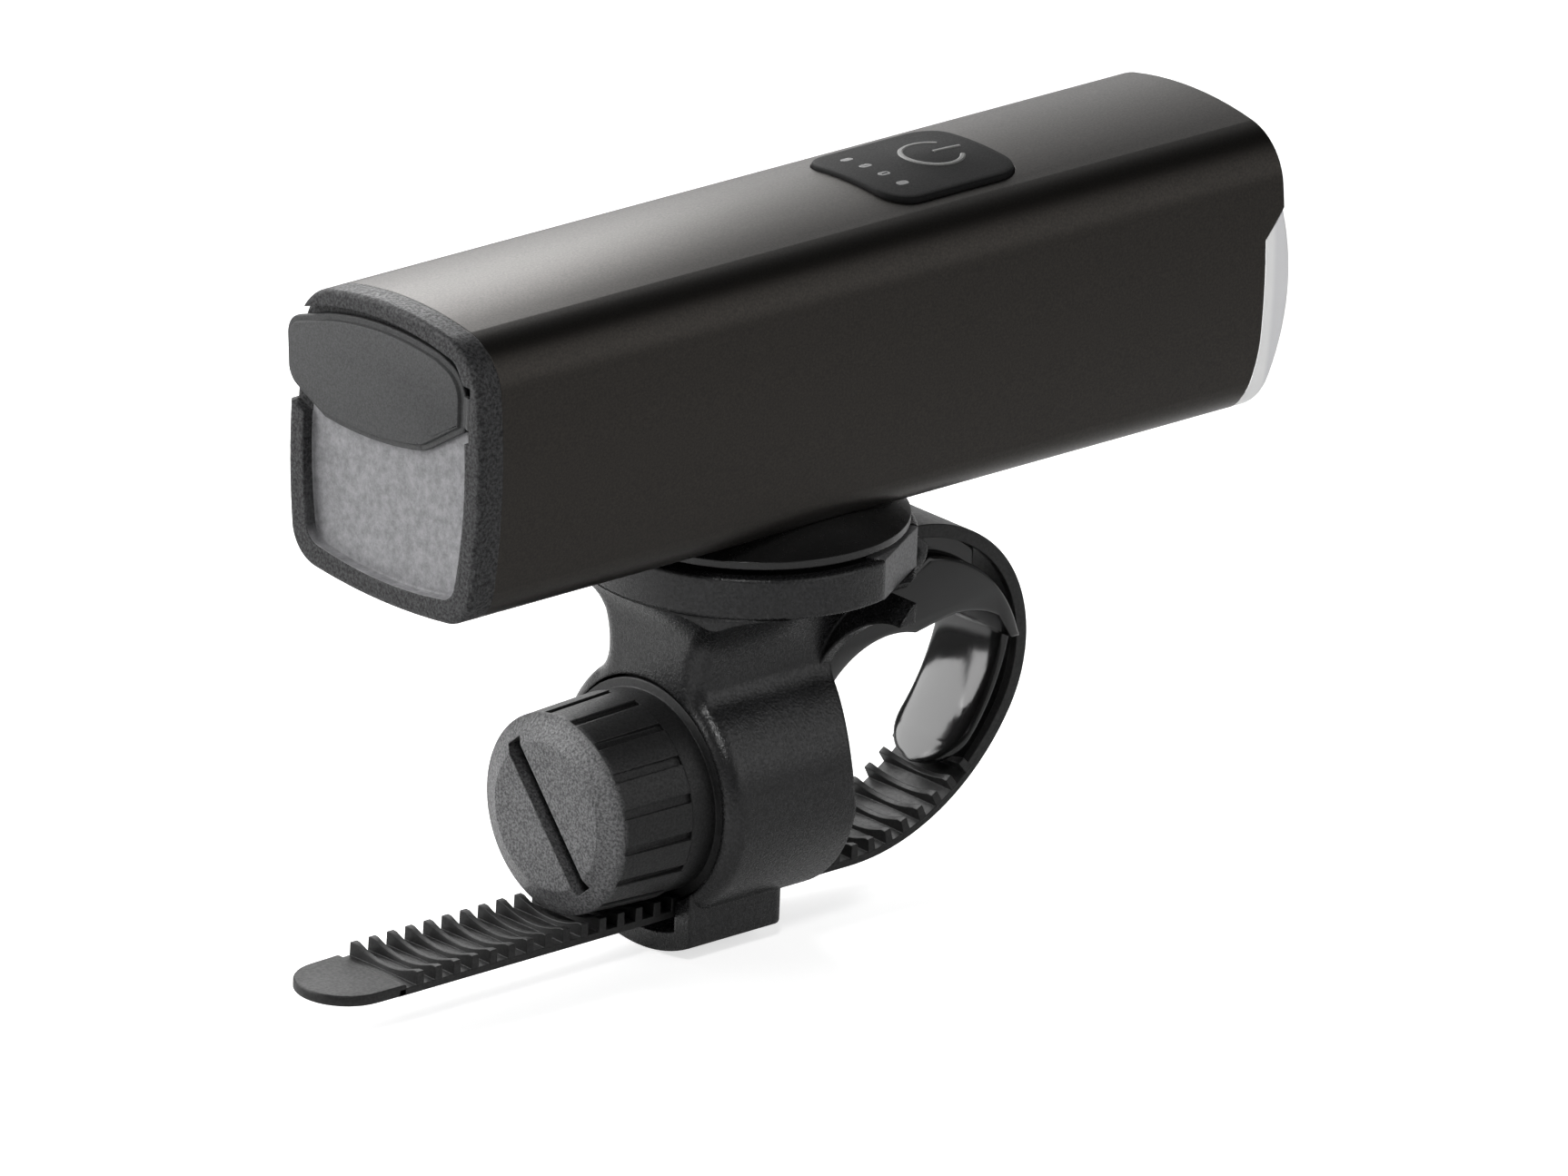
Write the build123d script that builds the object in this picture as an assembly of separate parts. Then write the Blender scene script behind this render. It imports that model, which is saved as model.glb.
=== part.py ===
from build123d import *
import math
import os

os.makedirs("parts", exist_ok=True)

# Bike headlight with a swivel foot and a bracket that a worm-drawn toothed band ties to the bar.
# Millimetres. The origin is on the handlebar's axis, which runs along Y. X points ahead, Z up.

# Shared clearances
fit_gap = 0.05
run_gap = 0.10
soft_gap = 0.30
overrun = 2.0

# Handlebar
bar_radius = 11.1
bar_clearance = 0.05

# Lamp body, a rounded section with crowned faces
side_crown = 1.34
top_crown = 2.17
bottom_crown = 1.15
top_corner = 6.6
bottom_corner = 4.5
housing_wall = 1.8
cap_x = -66.6
cap_side_length = 3.15
brow_x = 46.2

# Brow cut and lens, with heights from the lamp's middle
brow_rise = 7.2
brow_slope_run = 2.7
brow_slope_drop = 3.05
lens_bend_fall = 5.8
lens_bend_run = 0.3
lens_bend_drop = 4.1
lens_toe_run = 1.3
lens_toe_fall = 13.5
lens_front_radius = 36.0
lens_front_fall = 1.2
lens_proud = 1.1
lens_wall = 1.9
lens_plug_length = 8.8
lens_seal_lead = 0.6
lens_edge_round = 0.7
lens_gap = 0.06

# Seal rings at both ends of the body
seal_width = 1.1
seal_depth = 0.7
seal_setback = 1.9

# Rear cap
cap_rim = 2.4
cap_recess = 1.35
cap_wall = 1.7
cap_edge = 0.6
spigot_length = 5.0
spigot_wall = 1.5
port_depth = 9.15
port_open_width = 12.0
port_open_height = 6.4
cap_screw_setback = 5.9
cap_screw_radius = 0.95
cap_screw_head = 1.75
cap_screw_head_length = 0.9
cap_screw_length = 9.6
ledge_width = 2.6
ledge_height = 1.3
ledge_y = 5.6

# Charging cover
flap_thick = 1.0
flap_setback = 0.3
flap_round = 0.35
flap_plug_depth = 1.6
flap_top_depth = 2.25
flap_height = 13.7
flap_low_left_rise = 1.4
flap_shoulder_drop = 1.35
flap_left_low_rise = 5.4
flap_left_high_rise = 9.6
flap_left_setback = 3.0
flap_low_left_run = 4.4
flap_top_left_run = 1.8
flap_right_setback = 4.6
tab_reach = 2.1
tab_low_rise = 2.3
tab_high_rise = 10.1
tab_lean = 0.55
tab_round = 2.6
flap_corner = 1.1
flap_gap = 0.45
hinge_run = 0.35
hinge_radius = 0.5
hinge_relief = 1.0
hinge_setback = 0.4

# Charging socket and its board
port_width = 8.94
port_height = 3.26
port_length = 7.35
port_shell = 0.3
port_setback = 0.25
tongue_width = 6.6
tongue_height = 0.7
tongue_length = 4.6
board_thick = 1.0
charge_board_width = 14.0
charge_board_length = 7.4

# Battery cell and its cradle
cell_radius = 10.85
cell_length = 71.0
cell_x = -53.6
cell_button_radius = 3.6
cell_button_height = 0.4
cell_groove_setback = 3.4
cell_groove_depth = 0.35
cell_groove_width = 1.0
cell_side_room = 2.35
board_headroom = 1.0
electronics_height = 6.35
tray_wall = 1.0
tray_end_gap = 0.9
tray_end_wall = 1.2
tray_end_drop = 4.9
tray_saddle_drop = 12.0
tray_saddle_width = 1.6
tray_saddle_count = 3
boss_radius = 1.75
boss_length = 6.0
tab_thick = 0.25
tab_width = 6.0
tab_low_reach = 3.5

# Driver board, switch and level lamps
driver_x_low = -47.0
driver_x_high = 15.0
driver_side_gap = 1.7
driver_corner = 1.5
chip_step_shares = (-4.5, -3.0, 1.5)
switch_size = 5.2
switch_height = 1.6
plunger_radius = 1.35
plunger_height = 0.75
chip_length = 6.0
chip_width = 5.0
chip_height = 0.9
coil_size = 7.0
coil_height = 1.6
level_lamp_length = 1.6
level_lamp_width = 0.8
level_lamp_height = 0.6

# Power button
button_x_low = -3.0
button_x_high = 15.4
button_width = 15.6
button_corner = 3.5
button_proud = 0.5
button_round = 0.3
button_skin = 1.0
button_flange = 1.0
button_flange_thick = 0.7
button_dome_x = 8.8
button_dome_radius = 6.0
button_dome_height = 0.35
button_post_radius = 1.5
button_travel = 0.3
window_x = 0.8
window_pitch = 2.9
window_count = 4
window_length = 1.5
window_width = 0.9

# Emitters and what carries them
heat_x = 19.6
heat_length = 5.6
heat_core_radius = 9.0
heat_core_depth = 3.6
led_board_thick = 1.6
led_board_inset = 1.0
led_size = 3.45
led_height = 0.7
led_window_half = 1.3
led_window_height = 0.3
reflector_gap = 0.15
reflector_length = 11.3
reflector_inset = 0.5
cup_throat_radius = 2.9
cup_wall = 0.7
cup_web = 1.2
cup_belly_share = 0.42
cup_belly_radius_share = 0.80

# Swivel axis and bracket ring, stacked up from the ring's underside
swivel_x = -15.2
ring_radius = 17.8
ring_low_z = 20.9
ring_height = 4.6
ring_wall = 1.9
ring_edge = 0.35
ring_floor = 1.3
pit_floor = 0.3
pit_margin = 0.4
cover_ledge = 0.5
cover_thick = 1.1
cover_bore_gap = 0.2

# Swivel foot
foot_rise = 0.8
foot_setback = 0.8
foot_stand = 1.55
foot_rim = 0.8
foot_slope_run = 6.0
foot_slope_rise = 3.2
shoulder_setback = 2.5
plug_setback = 4.4
plug_gap = 0.2
plug_groove_depth = 1.2
foot_seat_gap = 0.02
foot_screw_setback = 5.3
foot_screw_radius = 1.5
foot_screw_head = 2.7
foot_screw_top_gap = 0.2
foot_screw_drive_share = 0.6

# Release slider
release_angle = -60.0
release_travel = 1.2
release_setback = 0.9
release_half_width = 5.5
release_tab_depth = 2.2
release_foot_depth = 1.7
release_hole_gap = 0.25
release_hole_shift = 1.25
release_back_gap = 2.0
slider_thick = 1.85
slider_guide_gap = 0.1
leaf_thick = 0.25
leaf_half_span = 4.0
leaf_rise = 0.75
leaf_height = 1.5

# Neck, worm barrel and saddle
neck_front_flare = 4.4
neck_half_width = 7.4
neck_low_z = 4.0
neck_flare = 8.4
neck_shoulder = 4.0
neck_corner = 2.2
barrel_z = -1.6
barrel_radius = 14.0
barrel_end_x = -11.0
bore_radius = 12.35
bore_end_x = -17.2
barrel_web = 1.4
spindle_radius = 3.4
screw_pocket_radius = 4.6
saddle_x = 10.4
saddle_z = 1.7
saddle_radius = 22.0
saddle_recess = 2.0
saddle_recess_half_width = 7.0
saddle_recess_low_z = -7.6
saddle_recess_high_z = 18.0
wing_thick = 1.5
wing_setback = 1.8
wing_tip = 0.6
wing_low_z = 8.6
wing_end_x = -5.6
guide_wall = 2.0
band_room = 2.6
guide_half_width = 8.0
guide_end_x = -15.1
guide_corner = 1.4
slot_half_width = 5.65
slot_top_z = -11.6

# Worm and knob
knob_length = 10.6
knob_stand = 3.0
knob_face_radius = 8.0
knob_front_radius = 10.87
knob_rear_radius = 11.25
knob_chamfer = 1.4
groove_count = 17
groove_depth = 0.3
groove_width = 1.0
groove_setback = 0.15
coin_slot_width = 2.25
coin_slot_depth = 2.2
coin_slot_angle = 49.0
coin_slot_half_length = 8.9
worm_lead = 1.55
worm_root = 11.0
worm_crest = 12.0
worm_crest_width = 0.65
worm_root_width = 1.15
worm_core_radius = 9.2
worm_hub_radius = 4.6
worm_core_depth = 9.0
worm_end_gap = 0.1
knob_screw_radius = 1.4
knob_screw_head = 2.75
knob_screw_head_length = 1.5
knob_screw_length = 9.5
knob_washer_radius = 4.1
knob_washer_thick = 0.5

# Toothed band
band_width = 10.7
band_base = 0.8
band_low_z = -14.4
tooth_pitch = 2.53
tooth_length = 1.0
tooth_height = 2.25
tooth_hollow_radius = 11.5
first_tooth_x = -63.7
tail_tip_x = -74.9
tail_thick = 1.2
tail_step_x = -65.6
band_bend_x = -3.74
band_radius_low = 25.55
band_angle_low = 59.8
band_radius_front = 15.4
band_angle_front = 83.0
band_radius_top = 18.93
last_tooth_angle = 43.0
band_wall_width = 1.0
band_wall_height = 1.5
eye_radius = 1.9
eye_setback = 1.0
pin_radius = 0.8
lug_wall = 2.0
lug_radius = 1.9

# Rubber bar pad
pad_half_width = 6.7
pad_start_angle = 72.0
pad_end_angle = 215.0
pad_top_z = 17.75
pad_step_run = 1.3
pad_crest_run = 3.0
pad_crest_z = 18.85
pad_rib_x = 13.4
pad_brow_x = 12.4
pad_brow_z = 15.7
pad_nose_x = 18.25
pad_nose_z = 7.0
pad_under_x = 15.2
pad_under_z = 9.9
pad_under_mid_x = 6.4
pad_under_mid_z = 11.2
tongue_half_width = 5.25
tongue_thick = 1.1
tongue_mid_x = 15.7
tongue_mid_z = -0.3
tongue_end_x = 9.6
tongue_end_z = -7.5
tongue_tip_share = 0.95

# Places worked out from the sizes above
quarter_turn = 90
half_turn = 180
corner_share = math.sqrt(0.5)
ahead = (1, 0, 0)
upward = (0, 0, 1)
ring_high_z = ring_low_z + ring_height
cup_radius = ring_radius - ring_wall
cup_floor_z = ring_low_z + ring_floor
cover_low_z = cup_floor_z + fit_gap + slider_thick + run_gap
foot_radius = ring_radius - foot_setback
foot_low_z = ring_high_z + foot_rise
plug_radius = cup_radius - plug_setback
plug_low_z = ring_low_z + pit_floor + plug_gap
release_face = ring_radius - release_setback
release_back = cup_radius - release_back_gap
belly_z = foot_low_z + foot_stand
cell_z = belly_z + housing_wall + fit_gap + tray_wall + cell_radius
cell_top_z = cell_z + cell_radius
lamp_top_z = cell_top_z + electronics_height + housing_wall
lamp_width = 2 * (cell_radius + cell_side_room + housing_wall)
lamp_height = lamp_top_z - belly_z
lamp_z = belly_z + lamp_height / 2
seam_x = cap_x + cap_side_length
cap_floor_x = cap_x + cap_recess
cap_inner_x = cap_floor_x + cap_wall
brow_z = lamp_z + brow_rise
lens_edge_x = brow_x - brow_slope_run
lens_toe_x = lens_edge_x - lens_toe_run
lens_apex_x = brow_x + lens_proud
lens_plug_x = brow_x - lens_plug_length
lens_front_z = lamp_z - lens_front_fall
port_z = lamp_top_z - port_depth
flap_high_z = lamp_top_z - flap_top_depth
flap_low_z = flap_high_z - flap_height
hinge_low_z = flap_low_z + flap_left_low_rise + hinge_setback
hinge_high_z = flap_low_z + flap_left_high_rise - hinge_setback
cell_end_x = cell_x + cell_length
tray_low_x = cell_x - tray_end_gap - tray_end_wall
tray_high_x = cell_end_x + tray_end_gap + tray_end_wall
cap_screw_offset = lamp_width / 2 - cap_screw_setback
flap_left_y = flap_left_setback - lamp_width / 2
flap_left_inner_y = flap_left_y + flap_low_left_run
flap_left_top_y = flap_left_y + flap_top_left_run
flap_right_y = lamp_width / 2 - flap_right_setback
tab_y = lamp_width / 2 + tab_reach
hinge_y = flap_left_y - hinge_run
reflector_wall_inset = housing_wall + fit_gap + lens_wall + reflector_inset
cup_mouth_radius = (lamp_height / 2 - reflector_wall_inset - cup_wall - cup_web / 2) / 2
led_pitch = 2 * cup_mouth_radius + cup_web
driver_width = lamp_width - 2 * (housing_wall + driver_side_gap)
tray_rail_z = cell_top_z + board_headroom
driver_z = tray_rail_z + fit_gap
driver_top_z = driver_z + board_thick
pad_bore_radius = bar_radius + bar_clearance
neck_front_x = swivel_x - ring_radius + neck_front_flare
knob_rear_x = neck_front_x - knob_stand
knob_front_x = knob_rear_x - knob_length
worm_start_x = neck_front_x - worm_lead
guide_floor_radius = barrel_z - band_low_z + band_room
guide_radius = guide_floor_radius + guide_wall
wing_half_width = ring_radius - wing_setback
wing_flare = wing_half_width - wing_tip - neck_half_width
eye_x = swivel_x + ring_radius - eye_setback
pad_step_x = eye_x + pad_step_run
pad_crest_x = eye_x + pad_crest_run


def block(x_low, x_high, y_low, y_high, z_low, z_high):
    """A box between two opposite corners."""
    middle = Pos((x_low + x_high) / 2, (y_low + y_high) / 2, (z_low + z_high) / 2)
    return middle * Box(x_high - x_low, y_high - y_low, z_high - z_low)


def rod_x(x_low, x_high, radius, y=0, z=0):
    """A round bar along X."""
    return Pos((x_low + x_high) / 2, y, z) * Rot(0, quarter_turn, 0) * Cylinder(radius, x_high - x_low)


def rod_y(y_low, y_high, radius, x=0, z=0):
    """A round bar along Y."""
    return Pos(x, (y_low + y_high) / 2, z) * Rot(quarter_turn, 0, 0) * Cylinder(radius, y_high - y_low)


def rod_z(z_low, z_high, radius, x=0, y=0):
    """A round bar along Z."""
    return Pos(x, y, (z_low + z_high) / 2) * Cylinder(radius, z_high - z_low)


def side_prism(face, y_low, y_high):
    """A face drawn as X and Z, drawn out along Y between two places."""
    solid = extrude(Plane.XZ * face, amount=(y_high - y_low) / 2, both=True)
    return Pos(0, (y_low + y_high) / 2, 0) * solid


def lamp_section(inset):
    """Face across the lamp as Y and Z, drawn in by the inset on every side."""
    half = lamp_width / 2 - side_crown - inset
    high = lamp_height / 2 - top_crown - inset
    low = -(lamp_height / 2 - bottom_crown - inset)
    middle = (high + low) / 2
    outline = [
        ThreePointArc((-half, high), (0, high + top_crown), (half, high)),
        ThreePointArc((half, high), (half + side_crown, middle), (half, low)),
        ThreePointArc((half, low), (0, low - bottom_crown), (-half, low)),
        ThreePointArc((-half, low), (-half - side_crown, middle), (-half, high)),
    ]
    face = make_face(outline)
    corners = face.vertices().sort_by(Axis.Y)
    face = fillet(corners[-2:], max(top_corner - inset, top_corner / 5))
    corners = face.vertices().sort_by(Axis.Y)
    return fillet(corners[:2], max(bottom_corner - inset, bottom_corner / 5))


def lamp_prism(x_low, x_high, inset):
    """A length of the lamp's section, drawn in by the inset."""
    face = Pos(x_low, 0, lamp_z) * (Plane.YZ * lamp_section(inset))
    return extrude(face, amount=x_high - x_low, dir=ahead)


def lens_region(shift):
    """All that lies ahead of the slanted brow cut, seen from the side, moved ahead by the shift."""
    far = lens_apex_x + overrun
    low = lamp_z - lamp_height / 2 - overrun
    bend = (lens_edge_x + shift, lamp_z - lens_bend_fall)
    toe = (lens_toe_x + shift, lamp_z - lens_toe_fall - shift)
    belly = (bend[0] - lens_bend_run, bend[1] - lens_bend_drop)
    path = [
        Line((far, brow_z - shift), (brow_x + shift, brow_z - shift)),
        Line((brow_x + shift, brow_z - shift), (lens_edge_x + shift, brow_z - brow_slope_drop)),
        Line((lens_edge_x + shift, brow_z - brow_slope_drop), bend),
        ThreePointArc(bend, belly, toe),
        Line(toe, (toe[0], low)),
        Line((toe[0], low), (far, low)),
        Line((far, low), (far, brow_z - shift)),
    ]
    return side_prism(make_face(path), -lamp_width, lamp_width)


def slot_prism_x(x_low, x_high, width, height, y, z):
    """A bar along X with a section of two half circles joined by flats."""
    face = Pos(x_low, y, z) * (Plane.YZ * SlotOverall(width, height))
    return extrude(face, amount=x_high - x_low, dir=ahead)


def foot_screw_places():
    """Where the two foot screws stand along the lamp."""
    offset = plug_radius - foot_screw_setback
    return [swivel_x - offset, swivel_x + offset]


def button_prism(grow, z_low, z_high):
    """The button's outline in plan, grown by a margin, between two heights."""
    length = button_x_high - button_x_low + 2 * grow
    face = RectangleRounded(length, button_width + 2 * grow, button_corner + grow)
    middle = (button_x_low + button_x_high) / 2
    return extrude(Pos(middle, 0, z_low) * face, amount=z_high - z_low, dir=upward)


def window_places():
    """Where the level windows stand across the button."""
    first = -(window_count - 1) / 2 * window_pitch
    return [first + i * window_pitch for i in range(window_count)]


def make_housing():
    """Drawn aluminium tube, milled at the front for the lens and on top for the button."""
    body = lamp_prism(seam_x, brow_x, 0)
    body -= lamp_prism(seam_x - overrun, brow_x + overrun, housing_wall)
    body -= lens_region(0)
    body -= button_prism(run_gap, lamp_z, lamp_top_z + overrun)
    for x in foot_screw_places():
        body -= rod_z(lamp_z - lamp_height, lamp_z, foot_screw_radius + fit_gap, x)
    return body


def seal_ring(x_low, gap, depth):
    """A ring that lies in a groove under the housing's wall."""
    outer = lamp_prism(x_low, x_low + seal_width, housing_wall + gap)
    return outer - lamp_prism(x_low - overrun, x_low + seal_width + overrun, housing_wall + depth)


def seal_groove(x_low, depth):
    """The groove that a seal ring lies in, a little wider than the ring."""
    outer = lamp_prism(x_low - fit_gap, x_low + seal_width + fit_gap, 0)
    return outer - lamp_prism(x_low - overrun, x_low + seal_width + overrun, housing_wall + depth)


def make_lens():
    """Moulded lens, a cup with its plug inside the housing and its front wrapped under the brow."""
    front = rod_y(-lamp_width, lamp_width, lens_front_radius, lens_apex_x - lens_front_radius, lens_front_z)
    wrap = lamp_prism(lens_toe_x, lens_apex_x, 0) & lens_region(lens_gap)
    wrap = wrap & front
    rim = [e for e in wrap.edges() if e.center().X > brow_x - lens_edge_round]
    rim = [e for e in rim if e.center().Z < brow_z - lens_edge_round]
    wrap = fillet(rim, lens_edge_round)
    body = wrap + (lamp_prism(lens_plug_x, lens_apex_x, housing_wall + fit_gap) & front)
    inner_radius = lens_front_radius - lens_wall
    inner = rod_y(-lamp_width, lamp_width, inner_radius, lens_apex_x - lens_front_radius, lens_front_z)
    body -= lamp_prism(lens_plug_x - overrun, lens_apex_x, housing_wall + fit_gap + lens_wall) & inner
    return body - seal_groove(lens_plug_x + lens_seal_lead, seal_depth + fit_gap)


def flap_face(grow):
    """Outline of the charging cover as Y and Z, grown by a margin."""
    shoulder_z = flap_high_z - flap_shoulder_drop
    p = {
        "low_right": (flap_right_y, flap_low_z),
        "low_left": (flap_left_inner_y, flap_low_z + flap_low_left_rise),
        "left_low": (flap_left_y, flap_low_z + flap_left_low_rise),
        "left_high": (flap_left_y, flap_low_z + flap_left_high_rise),
        "top_left": (flap_left_top_y, shoulder_z),
        "top_right": (flap_right_y, shoulder_z),
        "tab_high": (tab_y, flap_low_z + tab_high_rise),
        "tab_low": (tab_y - tab_lean, flap_low_z + tab_low_rise),
    }
    path = [
        ThreePointArc(p["low_right"], (0, flap_low_z), p["low_left"]),
        Line(p["low_left"], p["left_low"]),
        Line(p["left_low"], p["left_high"]),
        Line(p["left_high"], p["top_left"]),
        ThreePointArc(p["top_left"], (0, flap_high_z), p["top_right"]),
        Line(p["top_right"], p["tab_high"]),
        Line(p["tab_high"], p["tab_low"]),
        Line(p["tab_low"], p["low_right"]),
    ]
    face = make_face(path)
    face = fillet(face.vertices().sort_by(Axis.X)[-2:], tab_round)
    face = fillet([v for v in face.vertices() if v.X < flap_right_y + fit_gap], flap_corner)
    if grow:
        face = offset(face, amount=grow)
    return face


def make_charge_flap():
    """Rubber cover with a pull tab, a sealing plug and a hinge bead at its edge."""
    outer_x = cap_x + flap_setback
    face = Pos(outer_x, 0, 0) * (Plane.YZ * flap_face(0))
    body = extrude(face, amount=flap_thick, dir=ahead)
    body = fillet(body.faces().sort_by(Axis.X)[0].edges(), flap_round)
    plug_width = port_open_width - 2 * soft_gap
    plug_height = port_open_height - 2 * soft_gap
    back_x = outer_x + flap_thick
    body += slot_prism_x(back_x, back_x + flap_plug_depth, plug_width, plug_height, 0, port_z)
    hinge_x = outer_x + flap_thick / 2
    body += rod_z(hinge_low_z, hinge_high_z, hinge_radius, hinge_x, hinge_y)
    body += block(
        hinge_x - hinge_radius / 2, hinge_x + hinge_radius / 2,
        hinge_y, flap_left_y + hinge_radius,
        hinge_low_z, hinge_high_z,
    )
    return body


def make_rear_cap():
    """Moulded end cap with a raised rim, a spigot, the port opening and two screw seats."""
    body = lamp_prism(cap_x, seam_x, 0)
    body = fillet(body.faces().sort_by(Axis.X)[0].edges(), cap_edge)
    body -= lamp_prism(cap_x - overrun, cap_floor_x, cap_rim)
    spigot_inset = housing_wall + fit_gap
    body += lamp_prism(seam_x, seam_x + spigot_length, spigot_inset)
    body -= lamp_prism(cap_inner_x, seam_x + spigot_length + overrun, spigot_inset + spigot_wall)
    body -= seal_groove(seam_x + seal_setback, seal_depth + fit_gap)
    body -= slot_prism_x(cap_x, seam_x, port_open_width, port_open_height, 0, port_z)
    notch = Pos(cap_x - overrun, 0, 0) * (Plane.YZ * flap_face(flap_gap))
    notch = extrude(notch, amount=cap_recess + overrun, dir=ahead)
    body -= notch
    hinge_x = cap_x + flap_setback + flap_thick / 2
    relief_low = hinge_low_z - hinge_setback - hinge_relief
    relief_high = hinge_high_z + hinge_setback + hinge_relief
    body -= rod_z(relief_low, relief_high, hinge_relief, hinge_x, hinge_y)
    board_z = charge_board_low_z()
    for side in (-1, 1):
        y = side * cap_screw_offset
        body -= rod_x(cap_x, seam_x, cap_screw_radius + fit_gap, y, port_z)
        body -= rod_x(cap_x, cap_floor_x + cap_screw_head_length, cap_screw_head + fit_gap, y, port_z)
        body += block(
            cap_inner_x - fit_gap, seam_x + spigot_length,
            side * ledge_y - ledge_width / 2, side * ledge_y + ledge_width / 2,
            board_z - ledge_height, board_z,
        )
    return body


def charge_board_low_z():
    """Underside of the charging board, which lies under the socket."""
    return port_z - port_height / 2 - board_thick


def make_cap_screws():
    """Two pan-head screws that draw the cap onto the cradle."""
    screws = []
    for side in (-1, 1):
        y = side * cap_screw_offset
        head_low = cap_floor_x + fit_gap
        head_high = cap_floor_x + cap_screw_head_length
        head = rod_x(head_low, head_high, cap_screw_head, y, port_z)
        shank = rod_x(head_high, head_high + cap_screw_length, cap_screw_radius, y, port_z)
        drive = block(
            head_low - overrun, head_low + cap_screw_head_length / 2,
            y - cap_screw_radius, y + cap_screw_radius,
            port_z - cap_screw_radius / 4, port_z + cap_screw_radius / 4,
        )
        cross = Pos(0, y, port_z) * Rot(quarter_turn, 0, 0) * Pos(0, -y, -port_z) * drive
        screws.append(head + shank - drive - cross)
    return Compound(screws)


def make_usb_port():
    """Folded shell of the charging socket with its contact tongue."""
    face_x = cap_inner_x + port_setback
    shell = slot_prism_x(face_x, face_x + port_length, port_width, port_height, 0, port_z)
    inner_width = port_width - 2 * port_shell
    inner_height = port_height - 2 * port_shell
    back_x = face_x + port_length - port_shell
    shell -= slot_prism_x(face_x - overrun, back_x, inner_width, inner_height, 0, port_z)
    shell += block(
        back_x - tongue_length, back_x,
        -tongue_width / 2, tongue_width / 2,
        port_z - tongue_height / 2, port_z + tongue_height / 2,
    )
    return shell


def make_charge_board():
    """Small circuit board under the charging socket."""
    low_z = charge_board_low_z() + fit_gap
    high_z = port_z - port_height / 2 - fit_gap
    x_low = cap_inner_x + port_setback
    half = charge_board_width / 2
    return block(x_low, x_low + charge_board_length, -half, half, low_z, high_z)


def make_battery_cell():
    """One cylindrical cell with its rolled groove and its raised end."""
    can = rod_x(cell_x, cell_end_x, cell_radius, 0, cell_z)
    groove_x = cell_end_x - cell_groove_setback
    groove = rod_x(groove_x, groove_x + cell_groove_width, cell_radius + overrun, 0, cell_z)
    groove -= rod_x(groove_x, groove_x + cell_groove_width, cell_radius - cell_groove_depth, 0, cell_z)
    can -= groove
    return can + rod_x(cell_end_x, cell_end_x + cell_button_height, cell_button_radius, 0, cell_z)


def make_battery_tabs():
    """Two nickel strips, one at each end of the cell, bent up to the driver board."""
    strips = []
    low_z = cell_z - tab_low_reach
    half = tab_width / 2
    front_x = cell_end_x + cell_button_height + fit_gap
    rear_x = cell_x - fit_gap - tab_thick
    top_z = driver_z - fit_gap
    for x_low, foot_low, foot_high in (
        (rear_x, rear_x, driver_x_low + tab_width),
        (front_x, driver_x_high - tab_width, front_x + tab_thick),
    ):
        strip = block(x_low, x_low + tab_thick, -half, half, low_z, top_z)
        strip += block(foot_low, foot_high, -half, half, top_z - tab_thick, top_z)
        strips.append(strip)
    return Compound(strips)


def make_battery_tray():
    """Moulded cradle: a trough with rails for the driver board, end walls, saddles and bosses."""
    inset = housing_wall + fit_gap
    trough = lamp_prism(tray_low_x, tray_high_x, inset)
    trough -= lamp_prism(tray_low_x + tray_end_wall, tray_high_x - tray_end_wall, inset + tray_wall)
    length = tray_high_x - tray_low_x - 2 * tray_end_wall
    step = length / (tray_saddle_count + 1)
    for i in range(tray_saddle_count):
        x = tray_low_x + tray_end_wall + (i + 1) * step
        saddle = lamp_prism(x - tray_saddle_width / 2, x + tray_saddle_width / 2, inset)
        half = lamp_width / 2
        low = lamp_z - lamp_height / 2
        trough += saddle & block(x - step, x + step, -half, half, low, cell_top_z - tray_saddle_drop)
    trough -= rod_x(cell_x - tray_end_gap, cell_end_x + tray_end_gap, cell_radius + run_gap, 0, cell_z)
    trough -= block(
        tray_low_x + tray_end_wall, tray_high_x - tray_end_wall,
        -lamp_width, lamp_width,
        tray_rail_z, lamp_top_z,
    )
    for x_low in (tray_low_x, tray_high_x - tray_end_wall):
        trough -= block(
            x_low - fit_gap, x_low + tray_end_wall + fit_gap,
            -lamp_width, lamp_width,
            tray_rail_z, lamp_top_z,
        )
    half = tab_width / 2 + run_gap
    for x_low in (tray_low_x - overrun, tray_high_x - tray_end_wall - overrun):
        trough -= block(
            x_low, x_low + tray_end_wall + 2 * overrun,
            -half, half,
            cell_top_z - tray_end_drop, lamp_top_z,
        )
    for side in (-1, 1):
        y = side * cap_screw_offset
        trough += rod_x(tray_low_x, tray_low_x + boss_length, boss_radius, y, port_z)
        trough -= rod_x(tray_low_x - overrun, tray_low_x + boss_length, cap_screw_radius + fit_gap, y, port_z)
    return trough


def make_control_board():
    """Driver board over the cell, with its coil and chips."""
    length = driver_x_high - driver_x_low
    face = RectangleRounded(length, driver_width, driver_corner)
    middle = (driver_x_low + driver_x_high) / 2
    board = extrude(Pos(middle, 0, driver_z) * face, amount=board_thick, dir=upward)
    coil_x = middle - coil_size
    board += block(
        coil_x - coil_size / 2, coil_x + coil_size / 2,
        -coil_size / 2, coil_size / 2,
        driver_top_z, driver_top_z + coil_height,
    )
    for share in chip_step_shares:
        x = middle + share * chip_length
        board += block(
            x - chip_length / 2, x + chip_length / 2,
            -chip_width / 2, chip_width / 2,
            driver_top_z, driver_top_z + chip_height,
        )
    return board


def make_switch_body():
    """Square push switch on the driver board."""
    half = switch_size / 2
    low_z = driver_top_z
    body = block(
        button_dome_x - half, button_dome_x + half, -half, half, low_z, low_z + switch_height
    )
    return body - rod_z(
        low_z + switch_height / 2, low_z + 2 * switch_height, plunger_radius + fit_gap, button_dome_x
    )


def switch_plunger_top_z():
    """Top of the switch plunger at rest."""
    return driver_top_z + switch_height + plunger_height


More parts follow.
